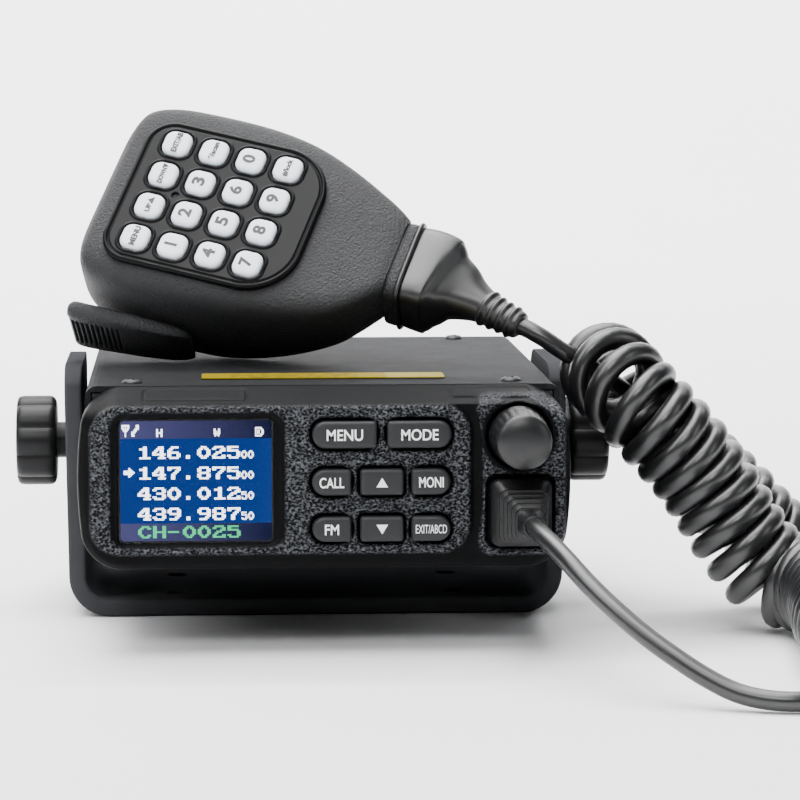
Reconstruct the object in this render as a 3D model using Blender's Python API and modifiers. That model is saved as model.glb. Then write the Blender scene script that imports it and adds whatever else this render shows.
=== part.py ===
"""Mobile transceiver with its mounting bracket, hand microphone and curly microphone cord.

Lengths are written in millimetres and turned into metres by the helpers. The origin is the centre
of the underside of the bracket's base, +Z is up and the front of the radio faces -Y. The hand
microphone has a frame of its own: +X towards its cord, +Y towards its upper edge and +Z out of
its keypad.
"""

import math

import bmesh
import bpy
from mathutils import Matrix, Vector

MM = 0.001
GAP = 0.3  # clearance between pieces that touch on the real object

# Driving dimensions of the radio
FACE_Y = -71.0
FACE_WIDTH = 98.6
FACE_BOTTOM = 18.6
FACE_TOP = 53.4
FACE_BOW = 0.04  # how much wider the face is half way up, as a share of its width
FACE_CORNER = 6.5
FACE_WALL = 2.4
SEAM_Y = -60.3  # where the face ends and the body begins
BODY_HALF_WIDTH = 47.9
BODY_TOP = 53.7
BODY_REAR = 45.5
COVER_SHEET = 1.2
CHASSIS_HALF_WIDTH = BODY_HALF_WIDTH - COVER_SHEET - GAP
CHASSIS_BOTTOM = 18.9
CHASSIS_WALL = 2.6

# Display, keys, knob and jack: centre X, centre Z, width, height
WINDOW = (-26.3, 35.6, 31.8, 26.8)
KEYS = {
    "key_menu": (3.8, 44.9, 12.8, 5.4),
    "key_mode": (18.7, 44.9, 12.8, 5.4),
    "key_call": (1.2, 35.4, 7.8, 5.2),
    "key_up": (11.2, 35.4, 8.6, 5.2),
    "key_moni": (21.0, 35.4, 7.8, 5.2),
    "key_fm": (1.2, 26.0, 7.8, 5.0),
    "key_down": (11.2, 26.0, 8.6, 5.0),
    "key_exit": (21.0, 26.0, 7.8, 5.0),
}
KEY_PROUD = 1.3
KNOB = (38.6, 44.4)
KNOB_RADIUS = 6.0
KNOB_LENGTH = 12.8
KNOB_RECESS_RADIUS = 6.7
JACK = (38.6, 29.7, 13.9, 15.6)
PLUG = (38.9, 29.2, 12.2, 13.4)
PLUG_LENGTH = 13.0

# Bracket and clamp knobs
PIVOT_Z = 35.7
BRACKET_DEPTH = 42.0
BRACKET_HALF_WIDTH = 53.5
BRACKET_SHEET = 3.6
BRACKET_TOP = 53.6
BRACKET_CORNER = 8.7
BRACKET_TOP_CORNER = 6.0  # rounding of each leg's upper corners, seen from the side
CLAMP_KNOB_RADIUS = 9.8
CLAMP_KNOB_INNER = 56.0
CLAMP_KNOB_OUTER = 64.5

# Fan and rear connectors: X, Z
FAN = (-21.5, 36.3)
FAN_SIZE = 25.0
FAN_FRONT_Y = 35.4
FAN_REAR_Y = 43.9
FAN_BLADES = 7
ANTENNA = (24.0, 39.0)
GLAND = (5.0, 28.5)

# Hand microphone
MIC_CENTRE = Vector((-21.9, -13.4, 87.8))
MIC_TOWARDS_CORD = Vector((0.928, -0.311, -0.206))
MIC_TOWARDS_TOP = Vector((0.353, 0.552, 0.756))
MIC_KEY_PITCH = 8.5
MIC_KEY_SIZE = 6.8
MIC_KEY_PROUD = 0.9
MIC_KEY_NAMES = (
    ("menu", "step_up", "step_down", "exit"),
    ("1", "2", "3", "star"),
    ("4", "5", "6", "0"),
    ("7", "8", "9", "hash"),
)
MIC_SEAM = -19.5
MIC_WALL = 2.0
# Along the shell: X, lowest Y, highest Y, front Z, back Z
MIC_SECTIONS = (
    (-26.2, -9.0, 12.0, -7.0, -15.0),
    (-25.3, -15.8, 18.2, -4.2, -21.0),
    (-22.6, -20.4, 22.8, -1.7, -26.6),
    (-17.0, -22.2, 25.0, -0.8, -31.0),
    (-6.0, -22.9, 25.8, -0.5, -34.2),
    (6.0, -22.8, 25.4, -0.5, -34.4),
    (16.0, -21.8, 23.4, -0.7, -31.4),
    (25.0, -20.0, 19.8, -1.3, -27.0),
    (33.0, -16.8, 15.6, -2.0, -22.6),
    (39.0, -11.4, 12.0, -2.6, -18.6),
    (41.0, -9.2, 10.6, -3.2, -17.0),
)
MIC_WIDEST_Z = -9.0  # the height at which each section is widest
MIC_SECTION_POINTS = 24
MIC_FRONT_POWER = 3.6  # squareness of the front half of a section
MIC_BACK_POWER = 2.9
PANEL = (1.35, -0.05, 42.9, 37.3)
PANEL_THICKNESS = 1.2
PTT_PIVOT = Vector((2.6, -24.9, -15.0))
PTT_FRONT = -9.2
PTT_BACK = -20.6

# Cord
LEAD_RADIUS = 1.9
COIL_RADIUS = 10.4
COIL_TURN_RADIUS = 12.3  # of the fold over which the coil doubles back
COIL_FOLD = Vector((61.2, -32.4, 53.2))
COIL_DOWN_FRONT = Vector((0.656, 0.0, -0.755))
COIL_DOWN_BACK = Vector((0.690, 0.0, -0.724))
LEAD_MIC_ROUTE = (
    (44.1, -31.5, 62.2),
    (45.6, -32.3, 61.4),
    (47.5, -32.9, 60.3),
    (49.5, -33.2, 58.9),
    (51.3, -33.3, 57.7),
)
LEAD_RADIO_ROUTE = (
    (39.9, -89.1, 28.6),
    (40.5, -92.2, 28.1),
    (42.1, -96.4, 26.8),
    (44.8, -102.0, 24.2),
    (48.4, -107.6, 20.4),
    (53.0, -113.0, 16.2),
    (58.0, -117.6, 12.2),
    (63.2, -121.6, 8.7),
    (68.4, -125.0, 5.6),
    (73.6, -127.8, 3.3),
    (79.0, -129.9, 2.3),
    (84.6, -130.8, 2.1),
    (89.6, -129.3, 2.2),
    (92.9, -125.0, 2.7),
    (94.0, -117.3, 3.7),
)
COIL_FRONT_ROUTE = (
    (99.4, -116.9, 10.5),
    (99.6, -104.0, 10.5),
    (99.6, -90.0, 10.5),
    (99.2, -76.0, 10.5),
    (98.0, -62.5, 10.8),
    (94.4, -52.0, 12.8),
    (88.6, -46.4, 18.2),
)
COIL_BACK_ROUTE = (
    (91.0, -20.1, 22.4),
    (96.6, -19.8, 16.6),
    (103.0, -19.2, 12.0),
    (110.0, -18.2, 10.6),
    (116.0, -17.0, 10.5),
)

BLACK_PLASTIC = ((0.022, 0.023, 0.026), 0.55, 0.0)
DARK_RUBBER = ((0.030, 0.031, 0.034), 0.75, 0.0)
GREY_KEY = ((0.085, 0.088, 0.095), 0.6, 0.0)
WHITE_KEY = ((0.72, 0.76, 0.80), 0.4, 0.0)
PAINTED_METAL = ((0.030, 0.031, 0.034), 0.6, 0.3)
CAST_METAL = ((0.045, 0.046, 0.050), 0.55, 0.6)
BRIGHT_METAL = ((0.55, 0.55, 0.56), 0.3, 1.0)
BOARD = ((0.02, 0.10, 0.05), 0.5, 0.0)
GLASS = ((0.05, 0.07, 0.12), 0.08, 0.0)
SCREEN_BLUE = ((0.0, 0.08, 0.40), 0.3, 0.0)
YELLOW_LABEL = ((0.80, 0.62, 0.03), 0.5, 0.0)

PARTS = bpy.data.collections.new("Mobile transceiver")
CUTTERS = bpy.data.collections.new("Cutters")

# Rotations that bring a shape drawn in XY to face along another axis
FACING_FRONT = Matrix.Rotation(math.radians(90), 4, "X")  # drawing's Y up, its Z towards -Y
FACING_REAR = Matrix.Rotation(math.radians(-90), 4, "X")
FACING_RIGHT = Matrix.Rotation(math.radians(90), 4, "Y")
FACING_LEFT = Matrix.Rotation(math.radians(-90), 4, "Y")
FACING_UP = Matrix.Identity(4)


def clear_scene():
    for thing in list(bpy.data.objects):
        bpy.data.objects.remove(thing, do_unlink=True)
    for group in (PARTS, CUTTERS):
        bpy.context.scene.collection.children.link(group)


def finish(name, look):
    colour, roughness, metallic = look
    made = bpy.data.materials.new(name)
    made.use_nodes = True
    shader = made.node_tree.nodes["Principled BSDF"]
    shader.inputs["Base Color"].default_value = (*colour, 1.0)
    shader.inputs["Roughness"].default_value = roughness
    shader.inputs["Metallic"].default_value = metallic
    return made


def place(name, data, look, at, turn=FACING_UP, parent=None):
    """Puts mesh or curve data in the model, or among the cutters when it has no look."""
    thing = bpy.data.objects.new(name, data)
    (PARTS if look else CUTTERS).objects.link(thing)
    thing.parent = parent
    thing.matrix_local = Matrix.Translation(Vector(at) * MM) @ turn
    if look:
        data.materials.append(finish(name, look))
    else:
        thing.hide_render = True
        thing.display_type = "WIRE"
    return thing


def smooth(data, angle=35):
    data.shade_smooth()
    data.set_sharp_from_angle(angle=math.radians(angle))


def rounded(thing, width, segments=2):
    edge = thing.modifiers.new("Rounded edges", "BEVEL")
    edge.width = width * MM
    edge.segments = segments
    edge.limit_method = "ANGLE"


def combine(thing, other, operation):
    step = thing.modifiers.new(other.name, "BOOLEAN")
    step.object = other
    step.operation = operation
    step.solver = "EXACT"


def block(name, low, high, look, parent=None, edge=0.0):
    """A box between two corners, with its origin at its centre."""
    low, high = Vector(low), Vector(high)
    shape = bmesh.new()
    bmesh.ops.create_cube(shape, size=1.0)
    bmesh.ops.scale(shape, vec=(high - low) * MM, verts=shape.verts)
    data = bpy.data.meshes.new(name)
    shape.to_mesh(data)
    shape.free()
    thing = place(name, data, look, (low + high) / 2, parent=parent)
    if edge:
        rounded(thing, edge)
    return thing


def turned(name, profile, look, at, turn=FACING_UP, parent=None, steps=20):
    """A closed turned solid from (radius, height) pairs, listed from the top down the outside."""
    data = bpy.data.meshes.new(name)
    points = [(radius * MM, 0.0, height * MM) for radius, height in profile]
    data.from_pydata(points, [(i, i + 1) for i in range(len(points) - 1)], [])
    thing = place(name, data, look, at, turn, parent)
    lathe = thing.modifiers.new("Turned", "SCREW")
    lathe.axis = "Z"
    lathe.angle = math.tau
    lathe.steps = steps
    lathe.render_steps = steps
    lathe.use_merge_vertices = True
    lathe.merge_threshold = 0.00001
    return thing


def cylinder(name, radius, length, look, at, turn=FACING_UP, parent=None, steps=20):
    """A cylinder that starts at its own origin and runs along its own +Z."""
    profile = ((0, length), (radius, length), (radius, 0), (0, 0))
    return turned(name, profile, look, at, turn, parent, steps)


def plate(name, outlines, thickness, look, at, turn=FACING_UP, parent=None):
    """A flat plate: the first outline is its edge and the others are holes through it.

    It is drawn at a thousand times its size, where filling the outline is exact, and scaled down.
    """
    drawing = bpy.data.curves.new(name, "CURVE")
    drawing.dimensions = "2D"
    drawing.fill_mode = "BOTH"
    drawing.extrude = thickness / 2
    for outline in outlines:
        line = drawing.splines.new("POLY")
        line.points.add(len(outline) - 1)
        line.use_cyclic_u = True
        for point, (x, y) in zip(line.points, outline):
            point.co = (x, y, 0.0, 1.0)
    return place(name, welded(drawing, name), look, at, turn, parent)


def welded(drawing, name):
    """The mesh of a curve drawn in millimetres, with its caps joined to its sides, in metres."""
    guide = bpy.data.objects.new(name, drawing)
    CUTTERS.objects.link(guide)
    graph = bpy.context.evaluated_depsgraph_get()
    data = bpy.data.meshes.new_from_object(guide.evaluated_get(graph))
    bpy.data.objects.remove(guide)
    data.materials.clear()
    shape = bmesh.new()
    shape.from_mesh(data)
    bmesh.ops.remove_doubles(shape, verts=shape.verts, dist=0.001)
    bmesh.ops.recalc_face_normals(shape, faces=shape.faces)
    bmesh.ops.scale(shape, vec=(MM, MM, MM), verts=shape.verts)
    shape.to_mesh(data)
    shape.free()
    data.name = name
    return data


def tube(name, points, radius, look, resolution=2):
    """A round tube along a smooth line through points."""
    line = bpy.data.curves.new(name, "CURVE")
    line.dimensions = "3D"
    line.bevel_depth = radius * MM
    line.bevel_resolution = resolution
    line.use_fill_caps = True
    spline = line.splines.new("POLY")
    spline.points.add(len(points) - 1)
    for point, place_mm in zip(spline.points, points):
        point.co = (*(Vector(place_mm) * MM), 1.0)
    return place(name, line, look, (0, 0, 0))


def smooth_line(route, spacing):
    """Points about spacing apart on a smooth curve through the route's points."""
    route = [Vector(point) for point in route]
    ends = [route[0] * 2 - route[1], *route, route[-1] * 2 - route[-2]]
    line = []
    for a, b, c, d in zip(ends, ends[1:], ends[2:], ends[3:]):
        pieces = max(1, round((c - b).length / spacing))
        for step in range(pieces):
            t = step / pieces
            pull = (c - a) * t + (2 * a - 5 * b + 4 * c - d) * t**2
            line.append(b + (pull + (3 * b - 3 * c + d - a) * t**3) / 2)
    return [*line, route[-1]]


def rounded_rectangle(centre, width, height, radius, steps=4):
    """Points round a rectangle with round corners."""
    points = []
    for corner, (sx, sy) in enumerate(((1, 1), (-1, 1), (-1, -1), (1, -1))):
        x = centre[0] + sx * (width / 2 - radius)
        y = centre[1] + sy * (height / 2 - radius)
        for step in range(steps + 1):
            angle = math.radians(90 * (corner + step / steps))
            points.append((x + radius * math.cos(angle), y + radius * math.sin(angle)))
    return points


def circle(centre, radius, steps=20):
    turns = [math.tau * step / steps for step in range(steps)]
    return [(centre[0] + radius * math.cos(a), centre[1] + radius * math.sin(a)) for a in turns]


def face_outline(inset):
    """The outline of the face, whose sides bow outwards."""
    centre = (FACE_TOP + FACE_BOTTOM) / 2
    width = FACE_WIDTH / (1 + FACE_BOW) - 2 * inset
    height = FACE_TOP - FACE_BOTTOM - 2 * inset
    steps = 5
    flat = rounded_rectangle((0, centre), width, height, FACE_CORNER - inset / 2, steps)
    side = [(width / 2, centre + level * height) for level in (0.2, 0.0, -0.2)]
    upper = 2 * (steps + 1)
    points = flat[:upper] + [(-x, z) for x, z in side] + flat[upper:] + side[::-1]
    half = height / 2
    return [(x * (1 + FACE_BOW * (1 - ((z - centre) / half) ** 2)), z) for x, z in points]


def key_outline(x, z, width, height, grow=0.0):
    return rounded_rectangle((x, z), width + 2 * grow, height + 2 * grow, 1.6 + grow, 2)


def make_face():
    holes = [
        rounded_rectangle(WINDOW[:2], WINDOW[2], WINDOW[3], 1.6, 2),
        circle(KNOB, KNOB_RECESS_RADIUS),
        rounded_rectangle(JACK[:2], JACK[2], JACK[3], 1.0, 2),
    ]
    holes += [key_outline(*size, grow=GAP) for size in KEYS.values()]
    depth = SEAM_Y - FACE_Y
    middle = (0, FACE_Y + depth / 2, 0)
    face = plate("front_bezel", [face_outline(0), *holes], depth, BLACK_PLASTIC, middle, FACING_FRONT)
    behind = (0, middle[1] + FACE_WALL, 0)
    hollow = plate("bezel_hollow", [face_outline(2.0)], depth, None, behind, FACING_FRONT)
    combine(face, hollow, "DIFFERENCE")


def make_display():
    x, z, width, height = WINDOW
    pane = rounded_rectangle((x, z), width - 2 * GAP, height - 2 * GAP, 1.3, 2)
    plate("display_window", [pane], 1.0, GLASS, (0, FACE_Y + 1.4, 0), FACING_FRONT)
    inner = FACE_Y + FACE_WALL + GAP
    low = (x - width / 2 - 0.6, inner, z - height / 2 - 0.8)
    high = (x + width / 2 + 0.6, inner + 4.2, z + height / 2 + 0.8)
    block("display_module", low, high, SCREEN_BLUE)


def make_front_keys():
    length = KEY_PROUD + FACE_WALL + 1.0
    for name, size in KEYS.items():
        x, z = size[:2]
        shape = key_outline(0, 0, *size[2:])
        key = plate(name, [shape], length, GREY_KEY, (x, FACE_Y - KEY_PROUD + length / 2, z), FACING_FRONT)
        smooth(key.data)


def make_volume_control():
    x, z = KNOB
    tip = FACE_Y - KNOB_LENGTH
    bore = 3.2
    rear = 0.6  # how far the knob reaches into its recess
    profile = (
        (0, KNOB_LENGTH),
        (3.4, KNOB_LENGTH - 0.2),
        (4.8, KNOB_LENGTH - 1.0),
        (5.5, KNOB_LENGTH - 2.4),
        (KNOB_RADIUS, 0.4),
        (KNOB_RADIUS, -rear),
        (bore, -rear),
        (bore, KNOB_LENGTH - 3.0),
        (0, KNOB_LENGTH - 3.0),
    )
    knob = turned("volume_knob", profile, BLACK_PLASTIC, (x, FACE_Y, z), FACING_FRONT, steps=28)
    smooth(knob.data)
    shaft_length = KNOB_LENGTH - 3.0 - GAP + 6.0
    shaft_start = tip + 3.0 + GAP + shaft_length
    cylinder("encoder_shaft", bore - GAP, shaft_length, BRIGHT_METAL, (x, shaft_start, z), FACING_FRONT)
    low = (x - 5.4, FACE_Y + FACE_WALL + GAP, z - 5.6)
    high = (x + 5.4, FACE_Y + 9.6, z + 4.8)
    body = block("encoder_body", low, high, CAST_METAL)
    bore_cut = cylinder("encoder_bore", bore + 0.1, 20.0, None, (x, FACE_Y + 15, z), FACING_FRONT)
    combine(body, bore_cut, "DIFFERENCE")


def make_jack_and_plug():
    x, z, width, height = JACK
    inner = FACE_Y + FACE_WALL + GAP
    jack = block("mic_jack", (x - 7.4, inner, z - 6.0), (x + 6.6, inner + 7.9, z + 7.0), BLACK_PLASTIC)
    px, pz, plug_width, plug_height = PLUG
    tongue_width, tongue_height = 11.0, 8.4
    socket = block(
        "jack_socket",
        (px - tongue_width / 2 - GAP, inner - 2, pz - tongue_height / 2 - GAP),
        (px + tongue_width / 2 + GAP, inner + 6.9, pz + tongue_height / 2 + GAP),
        None,
    )
    combine(jack, socket, "DIFFERENCE")
    plug = block(
        "mic_plug",
        (px - plug_width / 2, FACE_Y - PLUG_LENGTH, pz - plug_height / 2),
        (px + plug_width / 2, FACE_Y + 1.2, pz + plug_height / 2),
        DARK_RUBBER,
        edge=1.4,
    )
    tongue = block(
        "plug_tongue",
        (px - tongue_width / 2, FACE_Y, pz - tongue_height / 2),
        (px + tongue_width / 2, inner + 6.5, pz + tongue_height / 2),
        None,
    )
    relief_profile = ((0, 4.6), (2.4, 4.6), (3.6, 0), (3.6, -1.5), (0, -1.5))
    exit_place = (px + 1.0, FACE_Y - PLUG_LENGTH, pz - 0.6)
    relief = turned("plug_relief", relief_profile, None, exit_place, FACING_FRONT, steps=12)
    combine(plug, tongue, "UNION")
    combine(plug, relief, "UNION")


def cover_profile():
    """The channel of the top cover, drawn in XZ."""
    corner = 2.4
    bottom = 22.0
    outer, inner = BODY_HALF_WIDTH, BODY_HALF_WIDTH - COVER_SHEET
    arc = [math.radians(22.5 * step) for step in range(5)]
    points = [(outer, bottom)]
    points += [
        (outer - corner + corner * math.cos(a), BODY_TOP - corner + corner * math.sin(a)) for a in arc
    ]
    points += [(-x, z) for x, z in points[::-1]]
    points += [(-inner, bottom), (-inner, BODY_TOP - COVER_SHEET)]
    points += [(inner, BODY_TOP - COVER_SHEET), (inner, bottom)]
    return points


def chassis_profile():
    """The finned tray, drawn in XZ: cooling grooves run along the underside."""
    wall, floor, top = CHASSIS_HALF_WIDTH, CHASSIS_BOTTOM + 4.6, BODY_TOP - COVER_SHEET - GAP
    grooves, groove_width, groove_depth = 9, 4.6, 2.4
    spacing = 2 * (wall - 3.0) / grooves
    points = [(-wall, CHASSIS_BOTTOM)]
    for number in range(grooves):
        middle = -wall + 3.0 + spacing * (number + 0.5)
        left, right = middle - groove_width / 2, middle + groove_width / 2
        points += [(left, CHASSIS_BOTTOM), (left, CHASSIS_BOTTOM + groove_depth)]
        points += [(right, CHASSIS_BOTTOM + groove_depth), (right, CHASSIS_BOTTOM)]
    points += [(wall, CHASSIS_BOTTOM), (wall, top), (wall - CHASSIS_WALL, top)]
    points += [(wall - CHASSIS_WALL, floor), (CHASSIS_WALL - wall, floor)]
    return points + [(CHASSIS_WALL - wall, top), (-wall, top)]


def make_body():
    front = SEAM_Y + GAP
    length = BODY_REAR - front
    middle = (0, front + length / 2, 0)
    cover = plate("top_cover", [cover_profile()], length, PAINTED_METAL, middle, FACING_FRONT)
    tray_length = length - 1.5
    tray_middle = (0, front + tray_length / 2, 0)
    tray = plate("chassis", [chassis_profile()], tray_length, CAST_METAL, tray_middle, FACING_FRONT)
    pivot = cylinder("pivot_bore", 2.8, 120, None, (-60, 0, PIVOT_Z), FACING_RIGHT, steps=12)
    combine(cover, pivot, "DIFFERENCE")
    combine(tray, pivot, "DIFFERENCE")
    screw_profile = ((0, 0.7), (1.3, 0.7), (2.1, 0.3), (2.1, 0), (1.0, 0), (1.0, -2.4), (0, -2.4))
    for number, (x, y) in enumerate(((-38.5, -54), (38.5, -54), (-34, 40.5), (34, 40.5)), 1):
        hole = cylinder(f"screw_hole_{number}", 1.4, 4, None, (x, y, BODY_TOP - 3), steps=10)
        combine(cover, hole, "DIFFERENCE")
        at = (x, y, BODY_TOP + 0.02 + GAP / 2)
        turned(f"cover_screw_{number}", screw_profile, CAST_METAL, at, steps=12)
    label = rounded_rectangle((0.5, -44.3), 49.8, 9.6, 0.6, 1)
    plate("rating_label", [label], 0.2, YELLOW_LABEL, (0, 0, BODY_TOP + 0.25))


def make_inside():
    board = ((-41.5, -50.0, 27.0), (41.5, 31.0, 28.6))
    block("main_board", *board, BOARD)
    cone_profile = ((0, 3.6), (13.0, 3.6), (14.0, 0), (9.0, -3.4), (9.0, -5.4), (0, -5.4))
    turned("speaker", cone_profile, CAST_METAL, (14.0, -22.0, 47.4), steps=20)


def make_rear():
    thickness = 1.8
    half_width = CHASSIS_HALF_WIDTH - 0.2
    middle = (0, BODY_REAR + 0.5 - thickness / 2 + GAP, 0)
    bottom, top = CHASSIS_BOTTOM + 0.4, BODY_TOP - COVER_SHEET - GAP
    edge = rounded_rectangle((0, (bottom + top) / 2), 2 * half_width, top - bottom, 1.5, 2)
    # Drawn facing the front, so that X keeps its sign
    holes = [circle(ANTENNA, 6.4), circle(GLAND, 4.4, 16)]
    for row in range(-3, 4):
        z = FAN[1] + 3.3 * row
        width = 2 * math.sqrt(11.2**2 - (3.3 * row) ** 2)
        holes.append(rounded_rectangle((FAN[0], z), width, 2.0, 0.9, 1))
    panel = plate("rear_panel", [edge, *holes], thickness, PAINTED_METAL, middle, FACING_FRONT)
    panel_front = middle[1] - thickness / 2
    panel_rear = middle[1] + thickness / 2
    antenna_profile = (
        (0, 15.0),
        (6.6, 15.0),
        (7.6, 14.2),
        (7.6, 2.4),
        (9.4, 2.4),
        (9.4, GAP),
        (6.0, GAP),
        (6.0, -5.0),
        (0, -5.0),
    )
    at = (ANTENNA[0], panel_rear, ANTENNA[1])
    socket = turned("antenna_socket", antenna_profile, BRIGHT_METAL, at, FACING_REAR, steps=24)
    pin_hole = cylinder("antenna_pin_hole", 1.9, 16, None, (at[0], at[1] + 2, at[2]), FACING_REAR, steps=12)
    combine(socket, pin_hole, "DIFFERENCE")
    gland_profile = (
        (0, 3.4),
        (3.6, 3.4),
        (5.6, 1.4),
        (5.6, GAP),
        (4.1, GAP),
        (4.1, -2.6),
        (0, -2.6),
    )
    at = (GLAND[0], panel_rear, GLAND[1])
    gland = turned("power_gland", gland_profile, DARK_RUBBER, at, FACING_REAR, steps=20)
    for side in (-1, 1):
        lead_hole = cylinder(
            f"lead_hole_{side}", 1.2, 14, None, (at[0] + side * 1.7, panel_front - 4, at[2]), FACING_REAR, steps=8
        )
        combine(gland, lead_hole, "DIFFERENCE")
    return panel


def make_fan():
    x, z = FAN
    depth = FAN_REAR_Y - FAN_FRONT_Y
    edge = rounded_rectangle((x, z), FAN_SIZE, FAN_SIZE, 2.0, 2)
    middle = (0, FAN_FRONT_Y + depth / 2, 0)
    frame = plate("fan_frame", [edge, circle((x, z), 11.6, 28)], depth, BLACK_PLASTIC, middle, FACING_FRONT)
    hub = cylinder("fan_mount", 4.4, 1.4, None, (x, FAN_FRONT_Y, z), FACING_REAR, steps=16)
    bar = block("fan_bar", (x - 12, FAN_FRONT_Y, z - 1), (x + 12, FAN_FRONT_Y + 1.4, z + 1), None)
    combine(frame, hub, "UNION")
    combine(frame, bar, "UNION")
    start = FAN_FRONT_Y + 1.4 + GAP
    length = FAN_REAR_Y - start - 0.4
    rotor = cylinder("fan_rotor", 4.2, length, BLACK_PLASTIC, (x, start, z), FACING_REAR, steps=20)
    for number in range(FAN_BLADES):
        turn = Matrix.Rotation(math.tau * number / FAN_BLADES, 4, "Y")
        centre = Matrix.Translation(Vector((x, start + length / 2, z)) * MM)
        blade = block(f"fan_blade_{number}", (3.4, -3.2, -0.4), (10.9, 3.2, 0.4), None)
        lean = Matrix.Rotation(math.radians(38), 4, "X")
        blade.matrix_local = centre @ turn @ lean @ Matrix.Translation(Vector((7.15, 0, 0)) * MM)
        combine(rotor, blade, "UNION")


def bracket_profile():
    """The U of the bracket, drawn in XZ: the legs lean out a little."""
    lean = 0.6
    outer, inner = BRACKET_HALF_WIDTH, BRACKET_HALF_WIDTH - BRACKET_SHEET
    arc = [math.radians(-90 + 22.5 * step) for step in range(5)]
    corner = BRACKET_CORNER
    points = [(outer - lean - corner + corner * math.cos(a), corner + corner * math.sin(a)) for a in arc]
    points.append((outer, BRACKET_TOP))
    inner_corner = corner - BRACKET_SHEET
    back = [
        (inner - lean - inner_corner + inner_corner * math.cos(a), corner + inner_corner * math.sin(a))
        for a in arc
    ]
    points += [(inner, BRACKET_TOP), *back[::-1]]
    return points + [(-x, z) for x, z in points[::-1]]


def make_bracket():
    bracket = plate(
        "mounting_bracket", [bracket_profile()], BRACKET_DEPTH, PAINTED_METAL, (0, 0, 0), FACING_FRONT
    )
    height = 2 * BRACKET_TOP
    side = rounded_rectangle((-BRACKET_TOP + height / 2, 0), height, BRACKET_DEPTH + 2, BRACKET_TOP_CORNER + 1)
    outline = plate("bracket_side", [side], 120, None, (0, 0, 0), FACING_RIGHT)
    combine(bracket, outline, "INTERSECT")
    pivot = cylinder("bracket_bore", 2.9, 120, None, (-60, 0, PIVOT_Z), FACING_RIGHT, steps=12)
    combine(bracket, pivot, "DIFFERENCE")
    for number, (x, y) in enumerate(((-30, -12), (30, -12), (-30, 12), (30, 12)), 1):
        hole = cylinder(f"mounting_hole_{number}", 2.3, 8, None, (x, y, -2), steps=12)
        combine(bracket, hole, "DIFFERENCE")
    grips, grip_depth = 10, 0.55
    for side, name, turn in ((1, "clamp_knob_right", FACING_RIGHT), (-1, "clamp_knob_left", FACING_LEFT)):
        points = []
        for step in range(grips * 4):
            angle = math.tau * step / (grips * 4)
            radius = CLAMP_KNOB_RADIUS - grip_depth * (1 - math.cos(grips * angle)) / 2
            points.append((radius * math.cos(angle), radius * math.sin(angle)))
        thick = CLAMP_KNOB_OUTER - CLAMP_KNOB_INNER
        at = (side * (CLAMP_KNOB_INNER + thick / 2), 0, PIVOT_Z)
        knob = plate(name, [points], thick, BLACK_PLASTIC, at, turn)
        inner_end = 42.6
        shank_profile = (
            (0, 60.0),
            (3.9, 60.0),
            (3.9, BRACKET_HALF_WIDTH + GAP + 0.2),
            (2.1, BRACKET_HALF_WIDTH + GAP + 0.2),
            (2.1, inner_end),
            (0, inner_end),
        )
        shank = turned(f"{name}_shank", shank_profile, None, (0, 0, PIVOT_Z), turn, steps=16)
        combine(knob, shank, "UNION")


def mic_frame():
    """An empty at the middle of the microphone's keypad, turned to its three directions."""
    along = MIC_TOWARDS_CORD.normalized()
    up = (MIC_TOWARDS_TOP - along * MIC_TOWARDS_TOP.dot(along)).normalized()
    out = along.cross(up)
    turn = Matrix((along, up, out)).transposed().to_4x4()
    empty = bpy.data.objects.new("mic_frame", None)
    PARTS.objects.link(empty)
    empty.matrix_world = Matrix.Translation(MIC_CENTRE * MM) @ turn
    return empty


def mic_section(x, low, high, front, back, inset):
    """Points round one cross-section of the shell: squarer in front than behind."""
    middle, half = (low + high) / 2, (high - low) / 2 - inset
    centre = min(MIC_WIDEST_Z, (front + back) / 2 + 2.5)
    points = []
    for step in range(MIC_SECTION_POINTS):
        angle = math.tau * (step + 0.5) / MIC_SECTION_POINTS
        across, out = math.cos(angle), math.sin(angle)
        power = MIC_FRONT_POWER if out > 0 else MIC_BACK_POWER
        reach = (front - centre if out > 0 else centre - back) - inset
        y = middle + half * math.copysign(abs(across) ** (2 / power), across)
        z = centre + reach * math.copysign(abs(out) ** (2 / power), out)
        points.append(Vector((x, y, z)) * MM)
    return points


def mic_loft(name, inset, look, parent):
    """The closed form of the whole shell, its skin moved in by inset."""
    shape = bmesh.new()
    rings = []
    sections = MIC_SECTIONS if not inset else MIC_SECTIONS[1:-1]
    for section in sections:
        x = section[0] + (inset / 2 if section is MIC_SECTIONS[1] else 0)
        ring = mic_section(x, *section[1:], inset)
        rings.append([shape.verts.new(point) for point in ring])
    for ring, following in zip(rings, rings[1:]):
        for i in range(MIC_SECTION_POINTS):
            j = (i + 1) % MIC_SECTION_POINTS
            shape.faces.new((ring[i], following[i], following[j], ring[j]))
    shape.faces.new(rings[0])
    shape.faces.new(rings[-1][::-1])
    bmesh.ops.recalc_face_normals(shape, faces=shape.faces)
    data = bpy.data.meshes.new(name)
    shape.to_mesh(data)
    shape.free()
    if look:
        smooth(data)
    return place(name, data, look, (0, 0, 0), parent=parent)


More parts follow.
